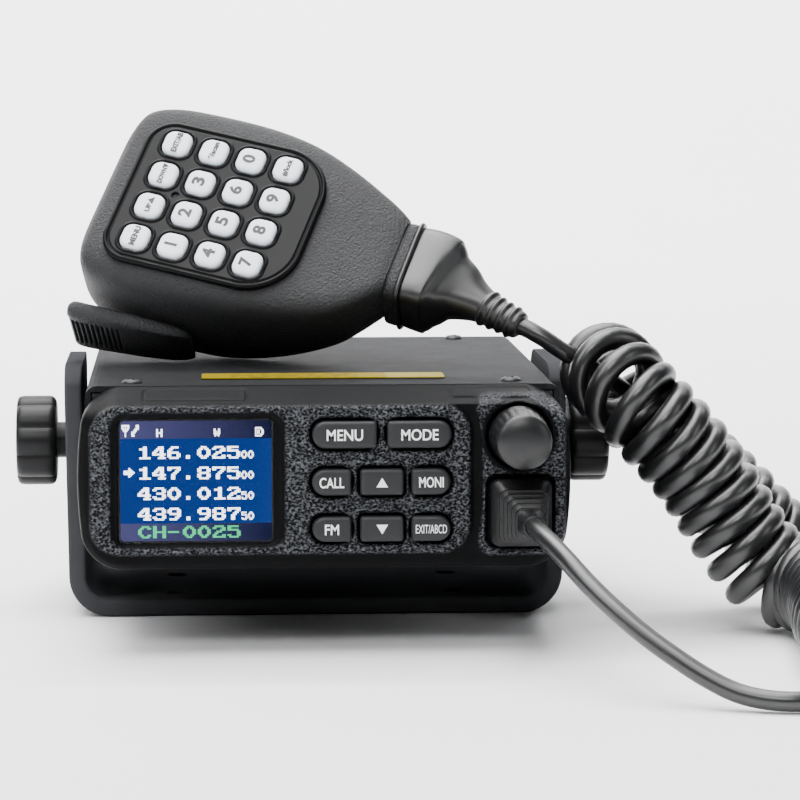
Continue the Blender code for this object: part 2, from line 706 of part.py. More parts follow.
def make_mic_shells(parent):
    inside = mic_loft("mic_inside", MIC_WALL, None, parent)
    behind = block("behind_seam", (-40, -50, -60), (60, 50, MIC_SEAM + GAP / 2), None, parent)
    before = block("before_seam", (-40, -50, MIC_SEAM - GAP / 2), (60, 50, 20), None, parent)
    panel_x, panel_y, width, height = PANEL
    seat_top = (panel_x, panel_y, 0)
    seat_outline = rounded_rectangle((0, 0), width + 2 * GAP, height + 2 * GAP, 8.0, 3)
    seat = plate("panel_seat", [seat_outline], 3.6, None, seat_top, parent=parent)
    window_outline = rounded_rectangle((0, 0), 35.0, 35.0, 2.0, 1)
    window = plate("key_window", [window_outline], 16, None, (0, 0, -4), parent=parent)
    cord_hole = cylinder("cord_hole", 4.2, 12, None, (33, 0.7, -10), FACING_RIGHT, parent, 12)
    front = mic_loft("mic_front_shell", 0, BLACK_PLASTIC, parent)
    for cutter in (inside, behind, seat, window, cord_hole):
        combine(front, cutter, "DIFFERENCE")
    back = mic_loft("mic_back_shell", 0, BLACK_PLASTIC, parent)
    for cutter in (inside, before):
        combine(back, cutter, "DIFFERENCE")


def key_places():
    for i, column in enumerate(MIC_KEY_NAMES):
        for j, name in enumerate(column):
            yield name, ((i - 1.5) * MIC_KEY_PITCH, (j - 1.5) * MIC_KEY_PITCH)


def make_mic_keypad(parent):
    panel_x, panel_y, width, height = PANEL
    edge = rounded_rectangle((panel_x, panel_y), width, height, 7.6, 3)
    hole_size = MIC_KEY_SIZE + 2 * GAP
    holes = [rounded_rectangle(at, hole_size, hole_size, 1.3, 1) for _, at in key_places()]
    holes.append(circle((-8.5, 0.0), 0.6, 8))
    at = (0, 0, -PANEL_THICKNESS / 2)
    plate("keypad_panel", [edge, *holes], PANEL_THICKNESS, BLACK_PLASTIC, at, parent=parent)
    thick = MIC_KEY_PROUD + PANEL_THICKNESS + 1.2
    for name, (x, y) in key_places():
        shape = rounded_rectangle((0, 0), MIC_KEY_SIZE, MIC_KEY_SIZE, 1.9, 2)
        at = (x, y, MIC_KEY_PROUD - thick / 2)
        plate(f"mic_key_{name}", [shape], thick, WHITE_KEY, at, parent=parent)
    block("mic_board", (-16.8, -16.0, -6.4), (16.8, 16.0, -5.2), BOARD, parent)
    capsule_at = (-8.5, 0.0, -11.0)
    cylinder("mic_capsule", 3.0, 4.2, BRIGHT_METAL, capsule_at, parent=parent, steps=16)


def make_ptt(parent):
    """The push-to-talk lever, which pivots at its end nearest the cord."""
    outline = (
        (4.6, -23.7),
        (4.6, -25.4),
        (3.2, -26.4),
        (-6.0, -27.4),
        (-16.0, -28.6),
        (-23.4, -29.4),
        (-25.6, -28.8),
        (-26.4, -27.2),
        (-25.2, -26.0),
        (-15.0, -25.3),
        (-4.0, -24.3),
    )
    local = [(x - PTT_PIVOT.x, y - PTT_PIVOT.y) for x, y in outline]
    at = (PTT_PIVOT.x, PTT_PIVOT.y, (PTT_FRONT + PTT_BACK) / 2)
    lever = plate("ptt_lever", [local], PTT_FRONT - PTT_BACK, BLACK_PLASTIC, at, parent=parent)
    rounded(lever, 0.8)
    stud_profile = ((0, 0), (3.4, 0), (3.4, -1.6), (5.4, -2.6), (5.4, -4.4), (0, -4.4))
    back = min(section[4] for section in MIC_SECTIONS)
    turned("hang_stud", stud_profile, BRIGHT_METAL, (4.0, 4.0, back - GAP - 0.1), parent=parent, steps=16)


def make_cord_boot(parent):
    """Collar, squarish boot and ribbed strain relief, lofted along a line that droops."""
    # X, Y, Z of each section's centre, its width, its depth and how round it is from 0 to 1
    sections = (
        (41.4, 0.7, -10.1, 19.4, 13.4, 0.25),
        (43.2, 0.7, -10.1, 19.4, 13.4, 0.25),
        (43.5, 0.7, -10.1, 20.4, 14.4, 0.25),
        (44.6, 0.7, -10.1, 20.4, 14.4, 0.25),
        (45.0, 0.7, -10.1, 19.0, 13.0, 0.25),
        (51.2, 0.3, -10.3, 18.2, 12.6, 0.3),
        (54.4, -0.6, -10.3, 14.2, 11.0, 0.5),
        (58.0, -1.8, -10.2, 9.6, 8.8, 0.8),
        (61.6, -3.0, -10.1, 7.2, 7.2, 1.0),
        (64.4, -4.0, -10.0, 6.8, 6.8, 1.0),
        (70.6, -5.9, -9.8, 5.6, 5.6, 1.0),
    )
    count = 16
    shape = bmesh.new()
    rings = []
    for number, (x, y, z, width, depth, roundness) in enumerate(sections):
        before, after = sections[max(number - 1, 0)], sections[min(number + 1, len(sections) - 1)]
        slope = (after[1] - before[1]) / (after[0] - before[0])
        power = 2 + 4 * (1 - roundness)
        ring = []
        for step in range(count):
            angle = math.tau * (step + 0.5) / count
            across, out = math.cos(angle), math.sin(angle)
            dy = width / 2 * math.copysign(abs(across) ** (2 / power), across)
            dz = depth / 2 * math.copysign(abs(out) ** (2 / power), out)
            ring.append(shape.verts.new(Vector((x - slope * dy, y + dy, z + dz)) * MM))
        rings.append(ring)
    for ring, following in zip(rings, rings[1:]):
        for i in range(count):
            j = (i + 1) % count
            shape.faces.new((ring[i], following[i], following[j], ring[j]))
    shape.faces.new(rings[0])
    shape.faces.new(rings[-1][::-1])
    bmesh.ops.recalc_face_normals(shape, faces=shape.faces)
    data = bpy.data.meshes.new("cord_boot")
    shape.to_mesh(data)
    shape.free()
    smooth(data)
    place("cord_boot", data, DARK_RUBBER, (0, 0, 0), parent=parent)


def coil_line():
    """The middle of the curly cord: up the front run, round the fold and down the back run."""
    down = (COIL_DOWN_FRONT + COIL_DOWN_BACK).normalized()
    centre = COIL_FOLD + down * COIL_TURN_RADIUS
    forward = Vector((0.0, -1.0, 0.0))
    fold = []
    for step in range(9):
        angle = math.pi * step / 8
        fold.append(centre + COIL_TURN_RADIUS * (forward * math.cos(angle) - down * math.sin(angle)))
    route = [*COIL_FRONT_ROUTE, fold[0] + COIL_DOWN_FRONT * 14, *fold, fold[-1] + COIL_DOWN_BACK * 14]
    return [*route, *COIL_BACK_ROUTE]


def make_cord():
    tube("lead_mic", smooth_line(LEAD_MIC_ROUTE, 2.4), LEAD_RADIUS, DARK_RUBBER)
    tube("curly_cord", smooth_line(coil_line(), 5.2), COIL_RADIUS, DARK_RUBBER, resolution=4)
    tube("lead_radio", smooth_line(LEAD_RADIO_ROUTE, 3.4), LEAD_RADIUS, DARK_RUBBER)


def main():
    clear_scene()
    make_face()
    make_display()
    make_front_keys()
    make_volume_control()
    make_jack_and_plug()
    make_body()
    make_inside()
    make_rear()
    make_fan()
    make_bracket()
    microphone = mic_frame()
    make_mic_shells(microphone)
    make_mic_keypad(microphone)
    make_ptt(microphone)
    make_cord_boot(microphone)
    make_cord()


main()
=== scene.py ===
"""The looks of a mobile transceiver with its bracket, hand microphone and curly cord.

Shapes are written in millimetres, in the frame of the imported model, and the helpers turn them into
metres. The front faces -Y. The microphone has a frame of its own: +X towards its cord, +Y towards
its upper edge and +Z out of its keypad.
"""

import math

import bmesh
import bpy
import numpy as np
from mathutils import Matrix, Vector


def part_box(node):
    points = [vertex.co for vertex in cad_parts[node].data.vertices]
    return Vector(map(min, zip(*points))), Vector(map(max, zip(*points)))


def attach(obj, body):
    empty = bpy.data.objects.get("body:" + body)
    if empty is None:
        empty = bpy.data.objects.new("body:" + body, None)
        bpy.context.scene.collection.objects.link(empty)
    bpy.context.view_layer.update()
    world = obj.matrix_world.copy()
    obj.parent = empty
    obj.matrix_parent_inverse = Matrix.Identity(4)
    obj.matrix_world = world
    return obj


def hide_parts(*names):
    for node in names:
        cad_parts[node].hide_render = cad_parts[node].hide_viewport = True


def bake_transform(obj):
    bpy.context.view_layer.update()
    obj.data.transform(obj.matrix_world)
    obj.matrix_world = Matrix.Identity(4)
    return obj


MM = 0.001
QUARTER = math.radians(90)

# Rotations that bring a shape drawn in XY to face along another axis
FACING_FRONT = Matrix.Rotation(QUARTER, 4, "X")
FACING_REAR = Matrix.Rotation(-QUARTER, 4, "X")
FACING_RIGHT = Matrix.Rotation(QUARTER, 4, "Y")
FACING_LEFT = Matrix.Rotation(-QUARTER, 4, "Y")

# Camera
CAMERA_PLACE = (-25.3, -732.0, 124.5)
CAMERA_PITCH = math.radians(-6.271)
CAMERA_YAW = math.radians(3.473)
CAMERA_LENS = 151.1
SKY_SIDES, SKY_TOP = 0.14, 1.1  # how bright the studio is round about and overhead
SENSOR_WIDTH = 36.0

# Cord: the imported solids' routes, but the coil's front run stays straight until it is out of view
LEAD_RADIUS = 1.9
COIL_RADIUS = 10.4
COIL_WIRE_RADIUS = 2.35
COIL_PITCH = 5.2
COIL_TURN_RADIUS = 12.3
COIL_FOLD = Vector((61.2, -32.4, 53.2))
COIL_DOWN_FRONT = Vector((0.656, 0.0, -0.755))
COIL_DOWN_BACK = Vector((0.690, 0.0, -0.724))
LEAD_MIC_ROUTE = (
    (40.6, -30.0, 63.6),
    (44.1, -31.5, 62.2),
    (45.6, -32.3, 61.4),
    (47.5, -32.9, 60.3),
    (49.5, -33.2, 58.9),
    (51.3, -33.3, 57.7),
)
LEAD_RADIO_ROUTE = (
    (39.9, -84.6, 28.9),
    (39.9, -89.1, 28.6),
    (40.5, -92.2, 28.1),
    (42.1, -96.4, 26.8),
    (44.8, -102.0, 24.2),
    (48.4, -107.6, 20.4),
    (53.0, -113.0, 16.2),
    (58.0, -117.6, 12.2),
    (63.2, -121.6, 8.7),
    (68.4, -125.0, 5.6),
    (73.6, -127.8, 3.3),
    (79.0, -129.9, 2.3),
    (84.6, -130.8, 2.1),
    (89.6, -129.3, 2.2),
    (92.9, -125.0, 2.7),
)
COIL_FRONT_ROUTE = (
    (99.4, -116.9, 10.5),
    (99.6, -106.0, 10.5),
    (100.2, -94.0, 10.5),
    (101.8, -81.0, 10.5),
    (103.2, -68.0, 10.5),
    (102.8, -57.0, 10.5),
    (99.6, -49.8, 10.6),
    (94.2, -47.4, 12.0),
    (88.6, -46.4, 18.2),
)
COIL_BACK_ROUTE = (
    (91.0, -20.1, 22.4),
    (96.6, -19.8, 16.6),
    (103.0, -19.2, 12.0),
    (110.0, -18.2, 10.6),
    (116.0, -17.0, 10.5),
)

COIL_START_PHASE = math.radians(128)
COIL_END_EASE = 9.0  # the last length of the coil over which its turns straighten
COIL_STEPS = 28  # points in a full turn
COIL_ENTRY = (63.6, -23.7, 50.5)
COIL_ENTRY_ROUTE = ((55.4, -32.4, 55.4), (59.2, -29.4, 52.8))
# Beyond the coil's end, share of its radius, and degrees round it
COIL_END_TURN = ((1.6, 0.25, 190), (3.0, 0.6, 140), (3.0, 0.9, 85), (1.8, 1.0, 35))

# Face of the radio
FACE_Y = -71.0
FACE_DEPTH = 10.7
FACE_WIDTH = 98.6
FACE_BOTTOM = 17.7
FACE_TOP = 53.6
FACE_BOW = 0.04
FACE_CORNER = 7.0
FACE_GRID = 0.2  # spacing of the points of the face
FACE_SIDE_DEPTH = 3.4
FACE_FLAT = (-45.2, 45.2, 19.6, 50.7)  # left, right, bottom and top of the flat front
LEFT_PANEL = (-46.5, 28.8, 21.1, 50.5)
RIGHT_PANEL = (31.6, 47.9, 20.6, 52.2)
PANEL_RADIUS = 5.6
VALLEY_DEPTH = 0.85
SCREEN = (-40.7, -10.7, 23.65, 47.7)
SCREEN_RECESS = (-42.9, -7.8, 22.2, 49.6)
SCREEN_HOLE = (-41.2, -10.2, 23.2, 48.2)
BAR_HEIGHT = 3.55
KNOB = (38.6, 44.4)
KNOB_LENGTH = 12.8
KNOB_FLUTES = 24
JACK_SURROUND = (31.9, 45.5, 21.4, 37.7)
JACK_MOUTH = (32.5, 45.3, 22.2, 36.2)
PLUG = (38.9, 29.2, 12.2, 13.4)
PLUG_LENGTH = 13.0
PLUG_RIBS = 5
NAME_PLATES = ((-36.0, -15.6, 51.3, 53.0), (25.4, 41.2, 51.6, 53.1))
ROUND_LEFT = (0.7, 2.6, 2.6, 0.7)
ROUND_RIGHT = (2.6, 0.7, 0.7, 2.6)
# Centre X and Z, width, height, corner radii, legend and the legend's size
FACE_KEYS = {
    "key_menu": (3.8, 44.9, 12.8, 5.4, ROUND_LEFT, "MENU", (7.2, 2.25)),
    "key_mode": (18.7, 44.9, 12.8, 5.4, ROUND_RIGHT, "MODE", (7.4, 2.25)),
    "key_call": (1.2, 35.4, 7.8, 5.2, ROUND_LEFT, "CALL", (4.9, 2.1)),
    "key_up": (11.2, 35.4, 8.6, 5.2, 0.7, "up", None),
    "key_moni": (21.0, 35.4, 7.8, 5.2, ROUND_RIGHT, "MONI", (4.9, 2.1)),
    "key_fm": (1.2, 26.0, 7.8, 5.0, ROUND_LEFT, "FM", (2.8, 2.1)),
    "key_down": (11.2, 26.0, 8.6, 5.0, 0.7, "down", None),
    "key_exit": (21.0, 26.0, 7.8, 5.0, ROUND_RIGHT, "EXIT/ABCD", (6.2, 1.75)),
}
# Centre, size and corner radius of the hole round each key
KEY_HOLES = [(*size[:4], 2.4 if size[4] != 0.7 else 0.8) for size in FACE_KEYS.values()]
KEY_GROOVES = (40.1, 30.9)
SCREEN_ROWS = (("146.025", "00"), ("147.875", "00"), ("430.012", "50"), ("439.987", "50"))
SCREEN_NAME = "CH-0025"
# Name, glyph, place from the screen's upper left corner, and the size of a dot
SCREEN_MARKS = (
    ("screen_antenna", "Y", 0.35, 0.75, (0.215, 0.34)),
    ("screen_bolt", "Z", 2.3, 0.75, (0.21, 0.33)),
    ("screen_high", "H", 7.2, 1.6, (0.175, 0.225)),
    ("screen_wide", "W", 18.6, 1.6, (0.175, 0.225)),
    ("screen_battery", "B", 26.8, 1.35, (0.21, 0.26)),
)
GLYPHS = {
    "0": ("..###..", ".##.##.", "##...##", "##...##", "##...##", ".##.##.", "..###.."),
    "1": ("...##..", ".####..", "...##..", "...##..", "...##..", "...##..", ".######"),
    "2": (".#####.", "##...##", "....###", "..###..", ".##....", "##...##", "#######"),
    "3": (".#####.", "##...##", ".....##", "..####.", ".....##", "##...##", ".#####."),
    "4": ("...###.", "..####.", ".##.##.", "##..##.", "#######", "....##.", "...####"),
    "5": ("######.", "##.....", "######.", ".....##", ".....##", "##...##", ".#####."),
    "6": ("..####.", ".##....", "##.....", "######.", "##...##", "##...##", ".#####."),
    "7": ("#######", "##...##", "....##.", "...##..", "..##...", "..##...", "..##..."),
    "8": (".#####.", "##...##", "##...##", ".#####.", "##...##", "##...##", ".#####."),
    "9": (".#####.", "##...##", "##...##", ".######", ".....##", "....##.", ".####.."),
    ".": (".......", ".......", ".......", ".......", ".......", "..##...", "..##..."),
    "-": (".......", ".......", ".......", "######.", ".......", ".......", "......."),
    "C": ("..####.", ".##..##", "##.....", "##.....", "##.....", ".##..##", "..####."),
    "H": ("##...##", "##...##", "##...##", "#######", "##...##", "##...##", "##...##"),
    "W": ("##...##", "##...##", "##.#.##", "##.#.##", "#######", ".##.##.", ".#...#."),
    ">": ("...#...", "...##..", "######.", "#######", "######.", "...##..", "...#..."),
    "Y": ("#######", "#..#..#", ".#.#.#.", "..###..", "...#...", "...#...", "...#..."),
    "Z": ("....###", ".....##", "...##.#", "..###..", "#.##...", "##.....", "###...."),
    "B": ("######..", "#....##.", "#.##..##", "#.##..##", "#.##..##", "#....##.", "######.."),
}

# Body, bracket and rear
BODY_TOP = 53.7
PIVOT_Z = 35.7
BRACKET_DEPTH = 42.0
BRACKET_BASE_REAR = 27.5  # the base reaches further back than the legs
BRACKET_HALF_WIDTH = 53.5
BRACKET_SHEET = 3.6
BRACKET_TOP = 53.6
BRACKET_CORNER = 8.7
BRACKET_LEAN = 0.6
BRACKET_TOP_CORNER = 7.0
CLAMP_RADIUS = 9.8
CLAMP_INNER = 56.0
CLAMP_OUTER = 64.5
CLAMP_GRIPS = 9
SCREW_PLACES = ((-38.5, -54.0), (38.5, -54.0), (-34.0, 40.5), (34.0, 40.5))
ANTENNA = (24.0, 39.0)
GLAND = (5.0, 28.5)
REAR_FACE = 46.3

# Microphone
MIC_KEY_PITCH = 8.5
MIC_KEY_SIZE = 6.1
MIC_SEAM = -19.5
MIC_WIDEST_Z = -9.0
MIC_FRONT_POWER = 6.5
MIC_BACK_POWER = 2.9
# Along the shell: X, lowest Y, highest Y, front Z, back Z
MIC_SECTIONS = (
    (-26.2, -9.0, 12.0, -7.0, -15.0),
    (-25.3, -15.8, 18.2, -4.2, -21.0),
    (-22.6, -20.4, 22.8, -1.7, -26.6),
    (-17.0, -22.2, 25.0, -0.8, -31.0),
    (-6.0, -22.9, 25.8, -0.5, -34.2),
    (6.0, -22.8, 25.4, -0.5, -34.4),
    (16.0, -21.8, 23.4, -0.7, -31.4),
    (25.0, -20.0, 19.8, -1.3, -27.0),
    (33.0, -16.8, 15.6, -2.0, -22.6),
    (39.0, -11.4, 12.0, -2.6, -18.6),
    (41.0, -9.2, 10.6, -3.2, -17.0),
)
KEYPAD = (1.35, -0.05, 42.9, 37.3)
KEYPAD_RADII = (11.5, 6.5, 6.5, 11.5)
# Each column from the end away from the cord: node name, legend, legend's size
MIC_KEYS = (
    (("menu", "MENU", (4.9, 1.35)), ("step_up", "UP▲", (4.0, 1.35)), ("step_down", "DOWN▼", (5.2, 1.35)),
     ("exit", "EXIT/AB", (5.2, 1.35))),
    (("1", "1", (None, 2.85)), ("2", "2", (2.1, 2.85)), ("3", "3", (2.1, 2.85)), ("star", "*/scan", (4.6, 1.35))),
    (("4", "4", (2.3, 2.85)), ("5", "5", (2.1, 2.85)), ("6", "6", (2.1, 2.85)), ("0", "0", (2.1, 2.85))),
    (("7", "7", (2.1, 2.85)), ("8", "8", (2.1, 2.85)), ("9", "9", (2.1, 2.85)), ("hash", "#/lock", (4.6, 1.35))),
)
PTT_RIBS = 10

# Microphone frame
MIC_CENTRE = Vector((-21.9, -13.4, 87.8))
MIC_TOWARDS_CORD = Vector((0.928, -0.311, -0.206))
MIC_TOWARDS_TOP = Vector((0.353, 0.552, 0.756))

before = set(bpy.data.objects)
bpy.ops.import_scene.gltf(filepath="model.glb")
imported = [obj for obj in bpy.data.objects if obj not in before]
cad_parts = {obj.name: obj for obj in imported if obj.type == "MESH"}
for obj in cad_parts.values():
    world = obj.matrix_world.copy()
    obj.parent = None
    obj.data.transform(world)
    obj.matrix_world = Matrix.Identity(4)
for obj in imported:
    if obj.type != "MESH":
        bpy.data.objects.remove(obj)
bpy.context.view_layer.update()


# ---------------------------------------------------------------- shapes


def flowing(rows, spacing=None, pieces=8):
    """Rows of numbers on a smooth curve through the given rows (a centripetal Catmull-Rom)."""
    rows = np.array([list(row) for row in rows], float)
    ends = np.vstack([2 * rows[0] - rows[1], rows, 2 * rows[-1] - rows[-2]])
    out = []
    for a, b, c, d in zip(ends, ends[1:], ends[2:], ends[3:]):
        gaps = [max(float(np.linalg.norm(q - p)) ** 0.5, 1e-6) for p, q in ((a, b), (b, c), (c, d))]
        t0, t1 = 0.0, gaps[0]
        t2 = t1 + gaps[1]
        t3 = t2 + gaps[2]
        count = pieces if spacing is None else max(1, round(gaps[1] ** 2 / spacing))
        for step in range(count):
            t = t1 + (t2 - t1) * step / count
            ab = (a * (t1 - t) + b * (t - t0)) / (t1 - t0)
            bc = (b * (t2 - t) + c * (t - t1)) / (t2 - t1)
            cd = (c * (t3 - t) + d * (t - t2)) / (t3 - t2)
            abc = (ab * (t2 - t) + bc * (t - t0)) / (t2 - t0)
            bcd = (bc * (t3 - t) + cd * (t - t1)) / (t3 - t1)
            out.append((abc * (t2 - t) + bcd * (t - t1)) / (t2 - t1))
    return np.array([*out, rows[-1]])


def rounded_outline(width, height, radii, inset=0.0, steps=6):
    """Points round a rectangle: radii is one number, or the four from its upper right corner on."""
    radii = [radii] * 4 if isinstance(radii, (int, float)) else radii
    points = []
    for corner, (sx, sy) in enumerate(((1, 1), (-1, 1), (-1, -1), (1, -1))):
        radius = max(radii[corner] - inset, 0.05)
        x = sx * (width / 2 - inset - radius)
        y = sy * (height / 2 - inset - radius)
        for step in range(steps + 1):
            angle = QUARTER * (corner + step / steps)
            points.append((x + radius * math.cos(angle), y + radius * math.sin(angle)))
    return np.array(points)


def loft(rings, caps=(True, True)):
    """Closed rings of points joined into a skin."""
    rings = np.asarray(rings, float)
    count, around = rings.shape[:2]
    faces = [
        (i + j, i + around + j, i + around + (j + 1) % around, i + (j + 1) % around)
        for i in range(0, (count - 1) * around, around)
        for j in range(around)
    ]
    if caps[0]:
        faces.append(tuple(range(around)))
    if caps[1]:
        faces.append(tuple(range((count - 1) * around, count * around))[::-1])
    return rings.reshape(-1, 3), faces


def turned(profile, steps=64):
    """A turned skin from (radius, height) pairs."""
    angles = [math.tau * step / steps for step in range(steps)]
    rings = [[(r * math.cos(a), r * math.sin(a), h) for a in angles] for r, h in profile]
    return loft(rings)


def stacked(outline, levels, crown=0.0):
    """Outlines at different insets and heights, with a crown on the last one."""
    rings = [[(x, y, z) for x, y in outline(inset)] for inset, z in levels]
    top = np.array(rings[-1])
    for share in (0.8, 0.6, 0.4, 0.2):
        ring = top.copy()
        ring[:, :2] *= share
        ring[:, 2] += crown * (1 - share**2)
        rings.append(ring)
    return loft(rings)


def tube(path, radii, around=14):
    """A round tube along a path, with the frame carried along it without twisting."""
    path = np.asarray(path, float)
    radii = np.broadcast_to(radii, len(path))
    tangents = np.gradient(path, axis=0)
    tangents /= np.linalg.norm(tangents, axis=1)[:, None]
    side = np.cross(tangents[0], (0.3, 0.2, 1.0))
    angles = np.arange(around) * math.tau / around
    rings = []
    for point, tangent, radius in zip(path, tangents, radii):
        side = side - tangent * (side @ tangent)
        side /= np.linalg.norm(side)
        other = np.cross(tangent, side)
        rings.append(point + radius * (np.outer(np.cos(angles), side) + np.outer(np.sin(angles), other)))
    return loft(rings)


def piece(name, shape, look, body, stands_for=(), turn=None, sharp=35.0):
    """A piece of the object, from points in millimetres and faces, riding on a body."""
    points, faces = shape
    data = bpy.data.meshes.new(name)
    data.from_pydata(np.asarray(points, float).tolist(), [], faces)
    if turn is not None:
        data.transform(turn)
    data.transform(Matrix.Scale(MM, 4))
    form = bmesh.new()
    form.from_mesh(data)
    bmesh.ops.remove_doubles(form, verts=form.verts, dist=1e-7)
    bmesh.ops.recalc_face_normals(form, faces=form.faces)
    form.to_mesh(data)
    form.free()
    data.shade_smooth()
    data.set_sharp_from_angle(angle=math.radians(sharp))
    return ready(name, data, look, body, stands_for)


def ready(name, data, look, body, stands_for=()):
    thing = bpy.data.objects.new(name, data)
    bpy.context.scene.collection.objects.link(thing)
    data.materials.clear()
    data.materials.append(look)
    if body:
        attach(thing, body)
    if stands_for:
        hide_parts(*stands_for)
    return thing


def moved(x, y, z, turn=FACING_FRONT):
    return Matrix.Translation((x, y, z)) @ turn


def mic_turn():
    along = MIC_TOWARDS_CORD.normalized()
    up = (MIC_TOWARDS_TOP - along * MIC_TOWARDS_TOP.dot(along)).normalized()
    turn = Matrix((along, up, along.cross(up))).transposed().to_4x4()
    return Matrix.Translation(MIC_CENTRE) @ turn


MIC_TURN = mic_turn()


def lettering(name, text, size, turn, look, body, weight=0.0, thick=0.04):
    """Printed characters, size (width or None to keep their shape, height) in mm, centred where turn puts them."""
    line = bpy.data.curves.new(name, "FONT")
    line.body = text
    line.offset = weight
    line.extrude = 0.01
    line.resolution_u = 5
    guide = bpy.data.objects.new(name, line)
    bpy.context.scene.collection.objects.link(guide)
    graph = bpy.context.evaluated_depsgraph_get()
    data = bpy.data.meshes.new_from_object(guide.evaluated_get(graph))
    bpy.data.objects.remove(guide)
    corners = np.array([v.co for v in data.vertices])
    low, high = corners.min(0), corners.max(0)
    width, height = size
    span = high - low
    width = span[0] * height / span[1] if width is None else width
    stretch = np.array([width, height, thick]) / span
    data.transform(Matrix.Translation(-Vector((low + high) / 2)))
    data.transform(Matrix.Diagonal((*stretch, 1.0)))
    data.transform(Matrix.Scale(MM, 4) @ turn)
    return ready(name, data, look, body)


# ---------------------------------------------------------------- materials


class Graph:
    """A short way to write a material's nodes."""

    def __init__(self, name):
        self.material = bpy.data.materials.new(name)
        self.material.use_nodes = True
        self.tree = self.material.node_tree
        self.shader = self.tree.nodes["Principled BSDF"]
        self.place = self.node("ShaderNodeTexCoord").outputs["Object"]

    def node(self, kind, values=None, **settings):
        made = self.tree.nodes.new(kind)
        for key, value in settings.items():
            setattr(made, key, value)
        for key, value in (values or {}).items():
            if isinstance(value, bpy.types.NodeSocket):
                self.tree.links.new(value, made.inputs[key])
            else:
                made.inputs[key].default_value = value
        return made

    def link(self, source, target):
        self.tree.links.new(source, target)

    def noise(self, size_mm, detail=3.0, roughness=0.55, place=None):
        values = {"Vector": place or self.place, "Scale": 1 / (size_mm * MM), "Detail": detail, "Roughness": roughness}
        return self.node("ShaderNodeTexNoise", values).outputs["Fac"]

    def cells(self, size_mm, feature="SMOOTH_F1", place=None):
        values = {"Vector": place or self.place, "Scale": 1 / (size_mm * MM)}
        return self.node("ShaderNodeTexVoronoi", values, feature=feature).outputs["Distance"]

    def maths(self, operation, *values):
        made = self.node("ShaderNodeMath", dict(enumerate(values)), operation=operation)
        return made.outputs[0]

    def mix(self, factor, low, high):
        """Between two numbers."""
        return self.node("ShaderNodeMapRange", {"Value": factor, "To Min": low, "To Max": high}).outputs[0]

    def share(self, value, start, end):
        """0 up to start, 1 from end on."""
        values = {"Value": value, "From Min": start, "From Max": end}
        return self.node("ShaderNodeMapRange", values).outputs[0]

    def blend(self, factor, low, high):
        """Between two colours."""
        made = self.node("ShaderNodeMix", data_type="RGBA")
        sockets = [socket for socket in made.inputs if socket.enabled]
        for socket, value in zip(sockets, (factor, low, high)):
            if isinstance(value, bpy.types.NodeSocket):
                self.link(value, socket)
            else:
                socket.default_value = (*value, 1.0)
        return [socket for socket in made.outputs if socket.enabled][0]

    def ramp(self, value, *stops):
        made = self.node("ShaderNodeValToRGB", {"Fac": value})
        line = made.color_ramp
        while len(line.elements) < len(stops):
            line.elements.new(0.5)
        for element, (place, colour) in zip(line.elements, stops):
            element.position = place
            element.color = (*colour, 1.0) if isinstance(colour, tuple) else (colour, colour, colour, 1.0)
        return made.outputs["Color"]

    def bump(self, height, distance_mm, strength=1.0, over=None):
        values = {"Height": height, "Distance": distance_mm * MM, "Strength": strength}
        made = self.node("ShaderNodeBump", values)
        if over is not None:
            self.link(over, made.inputs["Normal"])
        return made.outputs["Normal"]

    def finish(self, colour, roughness, normal=None, **fixed):
        self.link(colour, self.shader.inputs["Base Color"])
        self.link(roughness, self.shader.inputs["Roughness"])
        if normal is not None:
            self.link(normal, self.shader.inputs["Normal"])
        for key, value in fixed.items():
            self.shader.inputs[key.replace("_", " ")].default_value = value
        return self.material


def plastic(name, colour, rough, grain_mm, depth_mm, sheen=0.5, wear=1.35, Metallic=0.0):
    """Moulded plastic, rubber or paint: grain, slow changes of tone and slightly rubbed edges."""
    g = Graph(name)
    slow = g.noise(14.0, 2.0)
    fine = g.noise(grain_mm, 4.0, 0.6)
    dark = tuple(c * 0.82 for c in colour)
    light = tuple(min(c * 1.18, 1.0) for c in colour)
    rubbed = tuple(min(c * wear, 1.0) for c in colour)
    pointed = g.share(g.node("ShaderNodeNewGeometry").outputs["Pointiness"], 0.52, 0.60)
    tone = g.blend(g.maths("MULTIPLY", pointed, fine), g.blend(slow, dark, light), rubbed)
    roughness = g.mix(g.noise(5.0, 3.0), rough - 0.06, rough + 0.06)
    return g.finish(tone, roughness, g.bump(fine, depth_mm), Specular_IOR_Level=sheen, Metallic=Metallic)


def panel_grain():
    """The face: coarse leather grain where the mesh's grain value is 1, and fine elsewhere, with painted glints on the
    coarse grain's peaks.
    """
    g = Graph("face_plastic")
    grain = g.node("ShaderNodeAttribute", attribute_name="grain").outputs["Fac"]
    warp = g.node("ShaderNodeVectorMath", {0: g.place, 1: (0.9, 1.0, 1.2)}, operation="MULTIPLY").outputs[0]
    coarse = g.maths("ADD", g.noise(0.40, 2.0, 0.5, warp), g.maths("MULTIPLY", g.cells(0.52, place=warp), 0.6))
    fine = g.noise(0.22, 2.0, 0.5)
    depth = g.maths("MULTIPLY", coarse, grain)
    height = g.maths("ADD", depth, g.maths("MULTIPLY", fine, 0.10))
    # Painted glints: the coarse grain's peaks get a light colour that stands in for the highlights they catch
    painted_glints = g.maths("MULTIPLY", g.share(coarse, 0.66, 1.12), grain)
    base = g.blend(g.noise(14.0, 2.0), (0.0022, 0.0023, 0.0026), (0.0034, 0.0036, 0.0040))
    tone = g.blend(painted_glints, base, (0.13, 0.137, 0.150))
    roughness = g.maths("SUBTRACT", g.mix(fine, 0.42, 0.52), g.maths("MULTIPLY", grain, 0.12))
    return g.finish(tone, roughness, g.bump(height, 0.5), Specular_IOR_Level=0.04)


